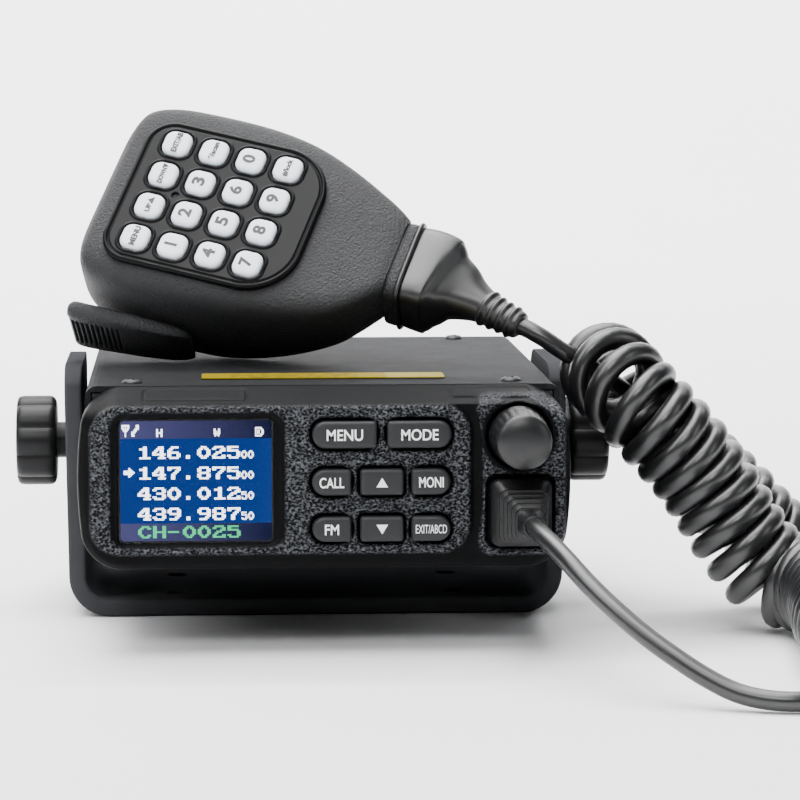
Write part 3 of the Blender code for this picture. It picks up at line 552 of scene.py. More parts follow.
def screen_picture():
    """The lit picture: a blue field between two bars that run from violet to navy."""
    g = Graph("screen_picture")
    split = g.node("ShaderNodeSeparateXYZ", {"Vector": g.place})
    left, right, low, high = (v * MM for v in SCREEN)
    across = g.share(split.outputs["X"], left, right)
    bar = g.ramp(across, (0.0, (0.085, 0.080, 0.22)), (0.4, (0.055, 0.050, 0.15)), (1.0, (0.002, 0.001, 0.02)))
    upper = g.maths("GREATER_THAN", split.outputs["Z"], high - BAR_HEIGHT * MM)
    lower = g.maths("LESS_THAN", split.outputs["Z"], low + BAR_HEIGHT * MM)
    dots = g.maths("MULTIPLY", g.noise(0.3, 1.0), 0.04)
    field = g.blend(dots, (0.0, 0.033, 0.26), (0.0, 0.040, 0.30))
    picture = g.blend(g.maths("ADD", upper, lower), field, bar)
    g.link(picture, g.shader.inputs["Emission Color"])
    g.shader.inputs["Emission Strength"].default_value = 0.9
    tone = g.blend(across, (0.0, 0.002, 0.012), (0.0, 0.002, 0.010))
    return g.finish(tone, g.mix(dots, 0.3, 0.34), Specular_IOR_Level=0.05)


def lit_ink(name, colour, strength):
    g = Graph(name)
    tone = g.blend(g.noise(0.4, 1.0), tuple(c * 0.92 for c in colour), colour)
    g.link(tone, g.shader.inputs["Emission Color"])
    g.shader.inputs["Emission Strength"].default_value = strength
    return g.finish(tone, g.mix(g.noise(1.0), 0.35, 0.45))


def printed_ink(name, colour, rough=0.5):
    g = Graph(name)
    worn = g.noise(0.35, 3.0)
    tone = g.blend(worn, tuple(c * 0.9 for c in colour), colour)
    return g.finish(tone, g.mix(g.noise(1.2), rough - 0.05, rough + 0.08), g.bump(worn, 0.01))


def clear_pane():
    g = Graph("clear_pane")
    smear = g.noise(9.0, 2.0)
    g.shader.inputs["Transmission Weight"].default_value = 1.0
    g.shader.inputs["IOR"].default_value = 1.25
    tone = g.blend(smear, (0.93, 0.94, 0.96), (0.97, 0.97, 0.98))
    g.shader.inputs["Alpha"].default_value = 0.05
    return g.finish(tone, g.mix(smear, 0.03, 0.07), Specular_IOR_Level=0.05)


def milky_key():
    g = Graph("milky_key")
    slow = g.noise(3.0, 2.0)
    tone = g.blend(slow, (0.66, 0.70, 0.76), (0.80, 0.84, 0.89))
    g.shader.inputs["Subsurface Weight"].default_value = 0.12
    g.shader.inputs["Subsurface Scale"].default_value = 0.001
    return g.finish(tone, g.mix(g.noise(0.8), 0.34, 0.42), g.bump(g.noise(0.25), 0.012), Coat_Weight=0.15)


def metal(name, colour, rough, grain_mm=0.4, depth_mm=0.02):
    g = Graph(name)
    along = g.node("ShaderNodeVectorMath", {0: g.place, 1: (1.0, 0.12, 1.0)}, operation="MULTIPLY").outputs[0]
    brushed = g.noise(grain_mm, 3.0, 0.6, along)
    tone = g.blend(g.noise(6.0), tuple(c * 0.85 for c in colour), colour)
    return g.finish(tone, g.mix(brushed, rough - 0.05, rough + 0.1), g.bump(brushed, depth_mm), Metallic=1.0)


def caution_film():
    """A yellow film with a paler end and plain dark lines where a real one has print."""
    g = Graph("caution_film")
    split = g.node("ShaderNodeSeparateXYZ", {"Vector": g.place})
    low, high = (Vector(corner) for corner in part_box("rating_label"))
    across = g.share(split.outputs["X"], low.x, high.x)
    line = g.maths("PINGPONG", g.maths("SUBTRACT", split.outputs["Y"], low.y), 1.1 * MM)
    rows = g.maths("GREATER_THAN", line, 0.75 * MM)
    words = g.maths("GREATER_THAN", g.noise(1.6, 1.0), 0.47)
    inside = g.maths("MULTIPLY", g.maths("GREATER_THAN", across, 0.12), g.maths("LESS_THAN", across, 0.64))
    print_here = g.maths("MULTIPLY", g.maths("MULTIPLY", rows, words), inside)
    film = g.blend(g.maths("GREATER_THAN", across, 0.76), (0.17, 0.125, 0.0), (0.22, 0.18, 0.03))
    tone = g.blend(print_here, film, (0.03, 0.024, 0.004))
    return g.finish(tone, g.mix(g.noise(2.0), 0.55, 0.65), g.bump(g.noise(1.5), 0.01), Specular_IOR_Level=0.05)


def board_green():
    g = Graph("board_green")
    traces = g.node("ShaderNodeTexBrick", {"Vector": g.place, "Scale": 180.0, "Mortar Size": 0.03})
    tone = g.blend(traces.outputs["Fac"], (0.02, 0.10, 0.045), (0.03, 0.15, 0.07))
    return g.finish(tone, g.mix(g.noise(2.0), 0.35, 0.5), g.bump(traces.outputs["Fac"], 0.03))


# ---------------------------------------------------------------- camera, light and floor


def make_camera():
    data = bpy.data.cameras.new("camera")
    data.lens = CAMERA_LENS
    data.sensor_width = SENSOR_WIDTH
    data.clip_start, data.clip_end = 0.01, 50.0
    camera = bpy.data.objects.new("camera", data)
    flat = math.cos(CAMERA_PITCH)
    ahead = Vector((math.sin(CAMERA_YAW) * flat, math.cos(CAMERA_YAW) * flat, math.sin(CAMERA_PITCH)))
    camera.rotation_euler = ahead.to_track_quat("-Z", "Y").to_euler()
    camera.location = Vector(CAMERA_PLACE) * MM
    bpy.context.scene.collection.objects.link(camera)
    bpy.context.scene.camera = camera


def soft_light(name, place, target, size, power, colour=(1.0, 1.0, 1.0)):
    data = bpy.data.lights.new(name, "AREA")
    data.shape = "RECTANGLE"
    data.size, data.size_y = size
    data.energy = power
    data.color = colour
    lamp = bpy.data.objects.new(name, data)
    lamp.location = place
    lamp.rotation_euler = (Vector(target) - Vector(place)).to_track_quat("-Z", "Y").to_euler()
    bpy.context.scene.collection.objects.link(lamp)


def make_studio():
    """A pale floor that sweeps up into a wall behind, with large soft lights."""
    run = [(-4.0, 0.0), (1.2, 0.0)]
    run += [(1.2 + 1.5 * math.sin(a), 1.5 - 1.5 * math.cos(a)) for a in np.linspace(0.1, QUARTER, 12)]
    run.append((2.7, 6.0))
    points = [(x, y, z - 0.00012) for y, z in run for x in (-6.0, 6.0)]
    faces = [(2 * i, 2 * i + 1, 2 * i + 3, 2 * i + 2) for i in range(len(run) - 1)]
    data = bpy.data.meshes.new("studio_sweep")
    data.from_pydata(points, [], faces)
    data.shade_smooth()
    g = Graph("studio_paper")
    tone = g.blend(g.noise(200.0, 2.0), (0.86, 0.86, 0.87), (0.89, 0.89, 0.90))
    data.materials.append(g.finish(tone, g.mix(g.noise(40.0), 0.85, 0.9)))
    floor = bpy.data.objects.new("studio_sweep", data)
    bpy.context.scene.collection.objects.link(floor)
    make_sky()
    aim = (0.02, -0.03, 0.05)
    soft_light("overhead", (-0.15, 0.0, 1.1), aim, (1.3, 0.8), 40.0)
    soft_light("high_left", (-1.0, -0.6, 1.0), aim, (0.4, 0.9), 11.0)
    soft_light("front_high", (-0.25, -1.35, 1.15), aim, (0.7, 0.35), 14.0)
    soft_light("front_right", (1.1, -0.8, 0.6), aim, (0.3, 0.7), 3.0)
    soft_light("wall_wash", (0.0, 0.9, 1.9), (0.0, 2.7, 0.7), (3.5, 0.8), 260.0)


def make_sky():
    """Bright straight above and dim all round, so that upright faces stay dark."""
    world = bpy.data.worlds.new("studio_world")
    world.use_nodes = True
    tree = world.node_tree
    back = tree.nodes["Background"]
    place = tree.nodes.new("ShaderNodeTexCoord")
    split = tree.nodes.new("ShaderNodeSeparateXYZ")
    height = tree.nodes.new("ShaderNodeMapRange")
    height.inputs["From Min"].default_value = 0.15
    height.inputs["To Min"].default_value = SKY_SIDES
    height.inputs["To Max"].default_value = SKY_TOP
    tree.links.new(place.outputs["Generated"], split.inputs[0])
    tree.links.new(split.outputs["Z"], height.inputs["Value"])
    tree.links.new(height.outputs["Result"], back.inputs["Strength"])
    bpy.context.scene.world = world


# ---------------------------------------------------------------- cords


def coil_centreline():
    """The middle of the curly cord: up the front run, round the fold and down the back run."""
    down = (COIL_DOWN_FRONT + COIL_DOWN_BACK).normalized()
    centre = COIL_FOLD + down * COIL_TURN_RADIUS
    forward = Vector((0.0, -1.0, 0.0))
    fold = []
    for step in range(9):
        angle = math.pi * step / 8
        fold.append(centre + COIL_TURN_RADIUS * (forward * math.cos(angle) - down * math.sin(angle)))
    route = [*COIL_FRONT_ROUTE, fold[0] + COIL_DOWN_FRONT * 14, *fold, fold[-1] + COIL_DOWN_BACK * 14]
    return flowing([*route, *COIL_BACK_ROUTE], spacing=0.8)


def carried_frames(line):
    """Two directions across a line at each of its points, carried along it without twisting."""
    tangents = np.gradient(line, axis=0)
    tangents /= np.linalg.norm(tangents, axis=1)[:, None]
    side = np.cross(tangents[0], (0.0, 0.0, 1.0))
    sides = []
    for tangent in tangents:
        side = side - tangent * (side @ tangent)
        side = side / np.linalg.norm(side)
        sides.append(side)
    sides = np.array(sides)
    return sides, np.cross(tangents, sides)


def helix_round(line, start_phase):
    """The coiled wire's middle: full turns, easing into straight ends along the coil."""
    run = np.concatenate([[0], np.cumsum(np.linalg.norm(np.diff(line, axis=0), axis=1))])
    total = run[-1]
    fine = np.arange(0, total, COIL_PITCH / COIL_STEPS)
    ramp = np.clip(fine / COIL_END_EASE, 0, 1)
    rate = ramp * ramp * (3 - 2 * ramp)
    phase = start_phase + np.cumsum(rate) * math.tau / COIL_STEPS
    sides, others = carried_frames(line)
    middle, side, other = (
        np.stack([np.interp(fine, run, rows[:, k]) for k in range(3)], 1) for rows in (line, sides, others)
    )
    across = np.cos(phase)[:, None] * side + np.sin(phase)[:, None] * other
    across /= np.linalg.norm(across, axis=1)[:, None]
    return middle + across * (COIL_RADIUS - COIL_WIRE_RADIUS)


def make_cords():
    rubber = plastic("cord_rubber", (0.0050, 0.0052, 0.0058), 0.34, 0.35, 0.02, sheen=0.75, wear=1.6)
    middle = coil_centreline()
    helix = helix_round(middle, COIL_START_PHASE)
    # The lead from the microphone enters at the fold and runs inside the back run to its far end
    entry = np.argmin(np.linalg.norm(middle - np.array(COIL_ENTRY), axis=1))
    bore = middle[entry:]
    ahead = bore[-1] - bore[-4]
    ahead /= np.linalg.norm(ahead)
    rim = helix[-1] - middle[-1]
    rim -= ahead * (rim @ ahead)
    radius = np.linalg.norm(rim)
    other = np.cross(ahead, rim / radius)
    turns = []
    for reach, share, degrees in COIL_END_TURN:
        angle = math.radians(degrees)
        across = rim * math.cos(angle) + other * radius * math.sin(angle)
        turns.append(middle[-1] + ahead * reach + across * share)
    inner = flowing([*LEAD_MIC_ROUTE, *COIL_ENTRY_ROUTE, *bore[6:-6:14]], spacing=1.2)
    loop = flowing([inner[-1], bore[-5], *turns, *helix[-6:-10:-1]], spacing=0.6)[1:-1]
    path = np.vstack([inner, loop, helix[-9::-1]])
    radii = np.full(len(path), COIL_WIRE_RADIUS)
    radii[: len(inner)] = LEAD_RADIUS
    radii[len(inner) : len(inner) + len(loop)] = np.linspace(LEAD_RADIUS, COIL_WIRE_RADIUS, len(loop))
    last = int(COIL_END_EASE / COIL_PITCH * COIL_STEPS)
    radii[-last:] = np.linspace(COIL_WIRE_RADIUS, LEAD_RADIUS, last)
    coil = piece("curly_cord_wire", tube(path, radii), rubber, None, ("lead_mic", "curly_cord"))
    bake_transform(coil)
    arrives = helix[0] - helix[2]
    arrives /= np.linalg.norm(arrives)
    route = [*LEAD_RADIO_ROUTE, helix[0] + arrives * 4.0, helix[0]]
    lead_path = flowing(route, spacing=1.5)
    lead = piece("radio_lead", tube(lead_path, LEAD_RADIUS, 20), rubber, "radio", ("lead_radio",))
    plug = make_plug(plastic("plug_plastic", (0.0050, 0.0052, 0.0058), 0.42, 0.35, 0.02, sheen=0.3, wear=1.9))


def make_plug(look):
    """The moulded plug: a block in the jack, then ribs that step down to the lead."""
    x, z, width, height = PLUG
    tip = FACE_Y - PLUG_LENGTH
    # Y, offset of the centre in X and Z, width, height and corner radius
    rows = [
        (FACE_Y + 2.0, 0.0, 0.0, width - 0.6, height - 0.6, 1.6),
        (FACE_Y - 2.2, 0.0, 0.0, width, height, 1.8),
        (FACE_Y - 3.2, 0.0, 0.0, width - 0.4, height - 0.4, 1.9),
        (FACE_Y - 4.4, 0.1, -0.2, width - 2.6, height - 2.8, 1.9),
    ]
    for number in range(PLUG_RIBS):
        share = number / (PLUG_RIBS - 1)
        y = FACE_Y - 5.0 - 7.2 * share
        dx, dz = 0.2 + 0.8 * share, -0.2 - 0.5 * share
        across, tall = width - 2.4 - 3.4 * share, height - 2.8 - 4.2 * share
        rows += [
            (y, dx, dz, across - 0.9, tall - 0.9, 1.2),
            (y - 0.12, dx, dz, across, tall, 1.5),
            (y - 0.78, dx, dz, across - 0.1, tall - 0.1, 1.6),
            (y - 0.9, dx, dz, across - 0.9, tall - 0.9, 1.3),
        ]
    rows += [
        (tip - 0.6, 1.0, -0.6, 5.8, 5.8, 2.7),
        (tip - 1.4, 1.0, -0.6, 4.9, 4.9, 2.42),
        (tip - 4.6, 1.0, -0.6, 4.3, 4.3, 2.1),
        (tip - 4.8, 1.0, -0.6, 3.6, 3.6, 1.75),
    ]
    rings = []
    for y, dx, dz, across, tall, corner in rows:
        outline = rounded_outline(across, tall, corner, steps=8)
        rings.append([(x + dx + u, y, z + dz + v) for u, v in outline])
    return piece("microphone_plug", loft(rings), look, "radio", ("mic_plug",), sharp=50)


# ---------------------------------------------------------------- the radio's face


def to_rounded(x, z, box, radius):
    """Distance to a rounded rectangle (left, right, bottom, top), below zero inside, and its slope."""
    left, right, bottom, top = box
    qx = np.abs(x - (left + right) / 2) - (right - left) / 2 + radius
    qz = np.abs(z - (bottom + top) / 2) - (top - bottom) / 2 + radius
    ox, oz = np.maximum(qx, 0), np.maximum(qz, 0)
    reach = np.hypot(ox, oz)
    distance = reach + np.minimum(np.maximum(qx, qz), 0) - radius
    safe = np.maximum(reach, 1e-9)
    return distance, ox / safe * np.sign(x - (left + right) / 2), oz / safe * np.sign(z - (bottom + top) / 2)


def rise(value, start, end):
    t = np.clip((value - start) / (end - start), 0, 1)
    return t * t * (3 - 2 * t)


def near(distance, half_width):
    """1 on a line, falling to 0 at half_width from it."""
    return 1 - rise(np.abs(distance), 0, half_width)


def face_relief(x, z):
    """How far each point lies behind the face plane, and where the coarse grain is."""
    left = to_rounded(x, z, LEFT_PANEL, PANEL_RADIUS)[0]
    swept = x + 3.2 * ((z - 36.0) / 16.0) ** 4 * np.clip((47.0 - x) / 16.0, 0, 1)
    right = to_rounded(swept, z, RIGHT_PANEL, 4.6)[0]
    panel = np.minimum(left, right)
    depth = VALLEY_DEPTH * rise(panel, -0.5, 0.9)
    grain = 1 - rise(panel, -0.2, 0.5)
    recess = to_rounded(x, z, SCREEN_RECESS, 3.2)[0]
    hole = to_rounded(x, z, SCREEN_HOLE, 1.2)[0]
    slope = 0.95 * (1 - rise(recess, -1.5, 0.3))
    depth = np.maximum(depth, slope)
    depth = np.where(hole < 0.15, np.maximum(depth, 0.95 + 0.7 * (1 - rise(hole, -0.2, 0.15))), depth)
    grain = grain * rise(recess, -0.5, 0.2)
    for cx, cz, width, height, radius in KEY_HOLES:
        box = (cx - width / 2, cx + width / 2, cz - height / 2, cz + height / 2)
        around = to_rounded(x, z, box, radius)[0]
        soft = 0.75 * (1 - rise(around, 0.25, 1.15))
        deep = 1.9 * (1 - rise(around, 0.2, 0.5))
        depth = np.maximum(depth, np.maximum(soft, deep))
        grain = grain * rise(around, 0.35, 0.75)
    for level in KEY_GROOVES:
        along = rise(x, -1.6, -0.6) * (1 - rise(x, 23.2, 24.2))
        depth = depth + 0.28 * near(z - level, 0.42) * along - 0.10 * near(z - level + 0.75, 0.5) * along
    knob = np.hypot(x - KNOB[0], z - KNOB[1])
    depth = np.maximum(depth, 2.4 * (1 - rise(knob, 6.25, 6.75)))
    depth = depth - 0.45 * near(knob - 7.1, 0.65)
    grain = grain * rise(knob, 7.2, 7.9)
    jack = to_rounded(x, z, JACK_SURROUND, 1.4)[0]
    depth = depth + 0.30 * near(jack, 0.32) + 0.12 * (1 - rise(jack, -0.6, -0.2))
    mouth = to_rounded(x, z, JACK_MOUTH, 1.6)[0]
    depth = np.maximum(depth, 1.6 * (1 - rise(mouth, 0.0, 0.6)))
    grain = grain * rise(mouth, 0.3, 0.8)
    for plate in NAME_PLATES:
        edge = to_rounded(x, z, plate, 0.5)[0]
        depth = depth + 0.9 * near(edge, 0.34)
    return depth, grain


def make_face():
    half = FACE_WIDTH / 2 / (1 + FACE_BOW)
    lip = FACE_SIDE_DEPTH
    u = np.arange(-half - 3.0, half + 3.0 + FACE_GRID / 2, FACE_GRID)
    v = np.arange(FACE_BOTTOM - 3.0, FACE_TOP + 3.0 + FACE_GRID / 2, FACE_GRID)
    u, v = np.meshgrid(u, v)
    outer, nx, nz = to_rounded(u, v, (-half, half, FACE_BOTTOM, FACE_TOP), FACE_CORNER)
    beyond = np.clip(outer, 0, None)
    u, v = u - nx * beyond, v - nz * beyond
    inner, _, up = to_rounded(u, v, FACE_FLAT, 5.0)
    inner = np.clip(inner, 0, None)
    share = inner / np.maximum(inner + np.clip(-outer, 0, None), 1e-6)
    share = np.where(outer >= 0, 1.0, share)
    topness = rise(up, 0.35, 0.95)
    reach = lip + (FACE_DEPTH - 0.3 - lip) * topness
    round_side = 1 - np.sqrt(np.clip(1 - share**2, 0, 1))
    back = reach * (round_side * (1 - topness) + share**1.15 * topness)
    back = back + (FACE_DEPTH - reach) * np.clip(outer / 3.0, 0, 1)
    middle, tall = (FACE_BOTTOM + FACE_TOP) / 2, (FACE_TOP - FACE_BOTTOM) / 2
    x = u * (1 + FACE_BOW * (1 - ((v - middle) / tall) ** 2))
    relief, grain = face_relief(x, v)
    relief = relief * (1 - 0.7 * rise(share, 0.6, 1.0))
    y = FACE_Y + back + relief
    rows, columns = x.shape
    points = np.stack([x, y, v], -1).reshape(-1, 3)
    gone = (outer >= 3.0).reshape(-1)
    index = np.arange(rows * columns).reshape(rows, columns)
    quads = np.stack([index[:-1, :-1], index[:-1, 1:], index[1:, 1:], index[1:, :-1]], -1).reshape(-1, 4)
    quads = quads[~gone[quads].all(axis=1)]
    used, flat = np.unique(quads, return_inverse=True)
    data = bpy.data.meshes.new("face_shell")
    data.from_pydata((points[used] * MM).tolist(), [], flat.reshape(-1, 4).tolist())
    values = grain.reshape(-1)[used].astype(np.float32)
    data.attributes.new("grain", "FLOAT", "POINT").data.foreach_set("value", values)
    form = bmesh.new()
    form.from_mesh(data)
    bmesh.ops.dissolve_degenerate(form, dist=1e-7, edges=form.edges)
    form.to_mesh(data)
    form.free()
    data.shade_smooth()
    ready("face_shell", data, panel_grain(), "radio", ("front_bezel",))


def make_screen():
    left, right, low, high = SCREEN
    middle = ((left + right) / 2, (low + high) / 2)

    def plate_outline(inset):
        return rounded_outline(right - left, high - low, 0.9, inset)

    def pane_outline(inset):
        return rounded_outline(right - left + 1.2, high - low + 1.2, 1.2, inset)

    y = FACE_Y + 1.5
    mask = plastic("screen_mask", (0.002, 0.002, 0.003), 0.3, 1.0, 0.005, sheen=0.2)
    turn = moved(middle[0], y, middle[1])
    behind = stacked(pane_outline, [(0, -0.2), (0, 0.0)])
    piece("screen_mask", behind, mask, "radio", ("display_module",), turn)
    turn = moved(middle[0], y - 0.06, middle[1])
    shown = stacked(plate_outline, [(0, -0.04), (0, 0.0)])
    piece("screen_picture", shown, screen_picture(), "radio", (), turn)
    turn = moved(middle[0], y - 0.55, middle[1])
    pane = stacked(pane_outline, [(0, -0.2), (0, 0.0), (0.1, 0.1)])
    piece("screen_pane", pane, clear_pane(), "radio", ("display_window",), turn)
    white = lit_ink("lit_white", (0.95, 0.96, 1.0), 1.8)
    green = lit_ink("lit_green", (0.0, 0.36, 0.13), 0.7)
    text_y = y - 0.12
    for number, (whole, small) in enumerate(SCREEN_ROWS):
        row_z = high - BAR_HEIGHT - 1.55 - 4.1 * number
        dots(f"screen_row_{number + 1}", whole, (left + 3.45, row_z), (0.37, 0.352), white, text_y)
        dots(f"screen_small_{number + 1}", small, (left + 24.0, row_z - 0.9), (0.165, 0.225), white, text_y)
    dots("screen_arrow", ">", (left + 0.7, high - BAR_HEIGHT - 1.55 - 4.1 - 0.15), (0.31, 0.27), white, text_y)
    dots("screen_name", SCREEN_NAME, (left + 3.45, low + 3.05), (0.37, 0.352), green, text_y)
    for name, glyph, x, z, cell in SCREEN_MARKS:
        dots(name, glyph, (left + x, high - z), cell, white, text_y)


def dots(name, text, at, cell, look, y):
    """Characters drawn in square dots, with the corners of diagonals filled."""
    points, faces = [], []

    def add(corners):
        start = len(points)
        points.extend((at[0] + u * cell[0], y, at[1] - v * cell[1]) for u, v in corners)
        faces.append(tuple(range(start, start + len(corners))))

    for place, letter in enumerate(text):
        rows = GLYPHS[letter]
        on = {(c, r) for r, row in enumerate(rows) for c, mark in enumerate(row) if mark == "#"}
        shift = place * 8
        for c, r in sorted(on):
            c0, r0 = c + shift, r
            add([(c0, r0), (c0 + 1, r0), (c0 + 1, r0 + 1), (c0, r0 + 1)])
        for r in range(len(rows)):
            for c in range(len(rows[0])):
                if (c, r) in on:
                    continue
                for dc, dr in ((1, 1), (-1, 1), (-1, -1), (1, -1)):
                    if (c + dc, r) in on and (c, r + dr) in on and (c + dc, r + dr) not in on:
                        u0, v0 = c + shift + (dc > 0), r + (dr > 0)
                        add([(u0, v0), (u0 - dc, v0), (u0, v0 - dr)])
    data = bpy.data.meshes.new(name)
    data.from_pydata((np.array(points) * MM).tolist(), [], faces)
    return ready(name, data, look, "radio", ())


def make_face_keys():
    rubber = plastic("key_rubber", (0.0115, 0.0121, 0.0134), 0.52, 0.3, 0.02, sheen=0.3, wear=1.9)
    ink = printed_ink("white_ink", (0.90, 0.91, 0.92))
    for name, (x, z, width, height, radii, legend, size) in FACE_KEYS.items():
        def outline(inset, width=width, height=height, radii=radii):
            return rounded_outline(width, height, radii, inset, 8)

        levels = [(0.0, 0.0), (0.0, 3.0), (0.12, 3.35), (0.40, 3.58), (0.75, 3.66)]
        turn = moved(x, FACE_Y + 2.36, z)
        cap = stacked(outline, levels, 0.05)
        piece(f"{name}_cap", cap, rubber, name, (name,), turn, 50)
        top = moved(x, FACE_Y - 1.36, z)
        if legend in ("up", "down"):
            point = 1 if legend == "up" else -1
            corners = [(-1.15, -0.95 * point), (1.15, -0.95 * point), (0, 0.95 * point)]
            rings = [[(a, b, level) for a, b in corners] for level in (-0.02, 0.02)]
            piece(f"{name}_legend", loft(rings), ink, name, turn=top)
        else:
            lettering(f"{name}_legend", legend, size, top, ink, name, weight=0.0 if len(legend) > 5 else 0.014)


def make_volume_knob():
    x, z = KNOB
    tall = KNOB_LENGTH
    black = plastic("knob_plastic", (0.0045, 0.0047, 0.0052), 0.36, 0.35, 0.03, sheen=0.45, wear=2.2)
    profile = [
        (3.2, -0.4), (5.9, -0.4), (6.0, 0.2), (5.82, 0.6), (5.76, 3.0), (5.66, 6.0), (5.56, 9.0),
        (5.50, 10.4), (5.46, 10.55), (5.20, 10.62), (5.24, 10.86), (5.46, 10.96), (5.44, 11.25),
        (5.22, 11.55), (4.8, 11.85), (4.0, 12.25), (3.0, 12.52), (2.0, 12.68), (1.0, 12.77), (0.0, tall),
    ]
    steps = 144
    points, faces = turned(profile, steps)
    rings = points.reshape(len(profile), steps, 3)
    angles = np.arange(steps) * math.tau / steps
    flute = 1 - 0.022 * (0.5 + 0.5 * np.cos(angles * KNOB_FLUTES)) ** 2
    for row in range(3, 8):
        rings[row, :, :2] *= flute[:, None]
    turn = moved(x, FACE_Y, z)
    piece("volume_cap", (rings.reshape(-1, 3), faces), black, "knob", ("volume_knob",), turn, 50)


# ---------------------------------------------------------------- the microphone


def section_ring(x, low, high, front, back, points=144):
    """One cross-section of the shell, squarer in front than behind."""
    middle, half = (low + high) / 2, (high - low) / 2
    centre = min(MIC_WIDEST_Z, (front + back) / 2 + 2.5)
    angle = math.tau * (np.arange(points) + 0.5) / points
    across, out = np.cos(angle), np.sin(angle)
    power = np.where(out > 0, MIC_FRONT_POWER, MIC_BACK_POWER)
    reach = np.where(out > 0, front - centre, centre - back)
    y = middle + half * np.sign(across) * np.abs(across) ** (2 / power)
    z = centre + reach * np.sign(out) * np.abs(out) ** (2 / power)
    return np.stack([np.full(points, x), y, z], 1)


def shell_half(name, data_of_whole, keep_front, look, node):
    form = data_of_whole.copy()
    height = MIC_SEAM + (0.12 if keep_front else -0.12)
    everything = [*form.verts, *form.edges, *form.faces]
    bmesh.ops.bisect_plane(
        form,
        geom=everything,
        plane_co=(0, 0, height),
        plane_no=(0, 0, 1),
        clear_inner=keep_front,
        clear_outer=not keep_front,
    )
    rim = [edge for edge in form.edges if edge.is_boundary]
    rim_points = list({v for edge in rim for v in edge.verts})
    # A small step at the seam, then a lid that closes the half
    made = bmesh.ops.extrude_edge_only(form, edges=rim)["geom"]
    step = [v for v in made if isinstance(v, bmesh.types.BMVert)]
    centre = sum((v.co for v in rim_points), Vector()) / len(rim_points)
    for v in step:
        v.co = centre + (v.co - centre) * 0.985
        v.co.z = height + (-0.10 if keep_front else 0.10)
    bmesh.ops.holes_fill(form, edges=[e for e in form.edges if e.is_boundary], sides=0)
    points = [tuple(v.co) for v in form.verts]
    form.verts.index_update()
    faces = [tuple(v.index for v in face.verts) for face in form.faces]
    form.free()
    return piece(name, (points, faces), look, "microphone", (node,), MIC_TURN, 40)


def make_mic_shells(grained):
    rings = [section_ring(*row) for row in flowing(MIC_SECTIONS, pieces=14)]
    first, last = rings[0], rings[-1]
    start = [first.mean(0) + (first - first.mean(0)) * share for share in (0.3, 0.7)]
    for ring, push in zip(start, (-0.55, -0.3)):
        ring[:, 0] += push
    points, faces = loft([*start, *rings])
    whole = bmesh.new()
    made = [whole.verts.new(p) for p in points]
    for face in faces:
        whole.faces.new([made[i] for i in face])
    bmesh.ops.recalc_face_normals(whole, faces=whole.faces)
    shell_half("microphone_front", whole, True, grained, "mic_front_shell")
    shell_half("microphone_back", whole, False, grained, "mic_back_shell")
    whole.free()


def key_centres():
    for i, column in enumerate(MIC_KEYS):
        for j, key in enumerate(column):
            yield key, (i - 1.5) * MIC_KEY_PITCH, (j - 1.5) * MIC_KEY_PITCH


def make_keypad():
    """A satin panel in a raised rim: a height field with a ring round each key."""
    cx, cy, width, height = KEYPAD
    grid = 0.16
    u = np.arange(-width / 2 - 1.2, width / 2 + 1.2, grid)
    v = np.arange(-height / 2 - 1.2, height / 2 + 1.2, grid)
    u, v = np.meshgrid(u, v)
    right = to_rounded(u, v, (-width / 2, width / 2, -height / 2, height / 2), KEYPAD_RADII[0])
    left = to_rounded(u, v, (-width / 2, width / 2, -height / 2, height / 2), KEYPAD_RADII[1])
    edge, nx, ny = (np.where(u > 0, a, b) for a, b in zip(right, left))
    beyond = np.clip(edge, 0, None)
    x, y = u - nx * beyond, v - ny * beyond
    z = -1.25 * np.clip(edge / 1.0, 0, 1)
    z = z - 0.22 * rise(edge, -0.4, 0.0) - 0.30 * near(edge + 1.15, 0.4) + 0.12 * near(edge + 0.55, 0.35)
    for _, kx, ky in key_centres():
        box = (kx - cx - 3.35, kx - cx + 3.35, ky - cy - 3.35, ky - cy + 3.35)
        around = to_rounded(x, y, box, 2.3)[0]
        z = z + 0.30 * near(around - 0.34, 0.42) - 0.9 * (1 - rise(around, -0.25, 0.05))
    hole = np.hypot(x + cx + 8.5, y + cy)
    z = np.where(hole < 1.2, np.minimum(z, -1.3 * (1 - rise(hole, 0.45, 0.85))), z)
    rows, columns = x.shape
    gone = (edge >= 1.0).reshape(-1)
    index = np.arange(rows * columns).reshape(rows, columns)
    quads = np.stack([index[:-1, :-1], index[:-1, 1:], index[1:, 1:], index[1:, :-1]], -1).reshape(-1, 4)
    quads = quads[~gone[quads].all(axis=1)]
    used, flat = np.unique(quads, return_inverse=True)
    points = np.stack([x + cx, y + cy, z], -1).reshape(-1, 3)[used]
    satin = plastic("keypad_satin", (0.0028, 0.0030, 0.0034), 0.36, 0.25, 0.006, sheen=0.10)
    shape = (points, flat.reshape(-1, 4).tolist())
    piece("keypad_plate", shape, satin, "microphone", ("keypad_panel",), MIC_TURN, 60)


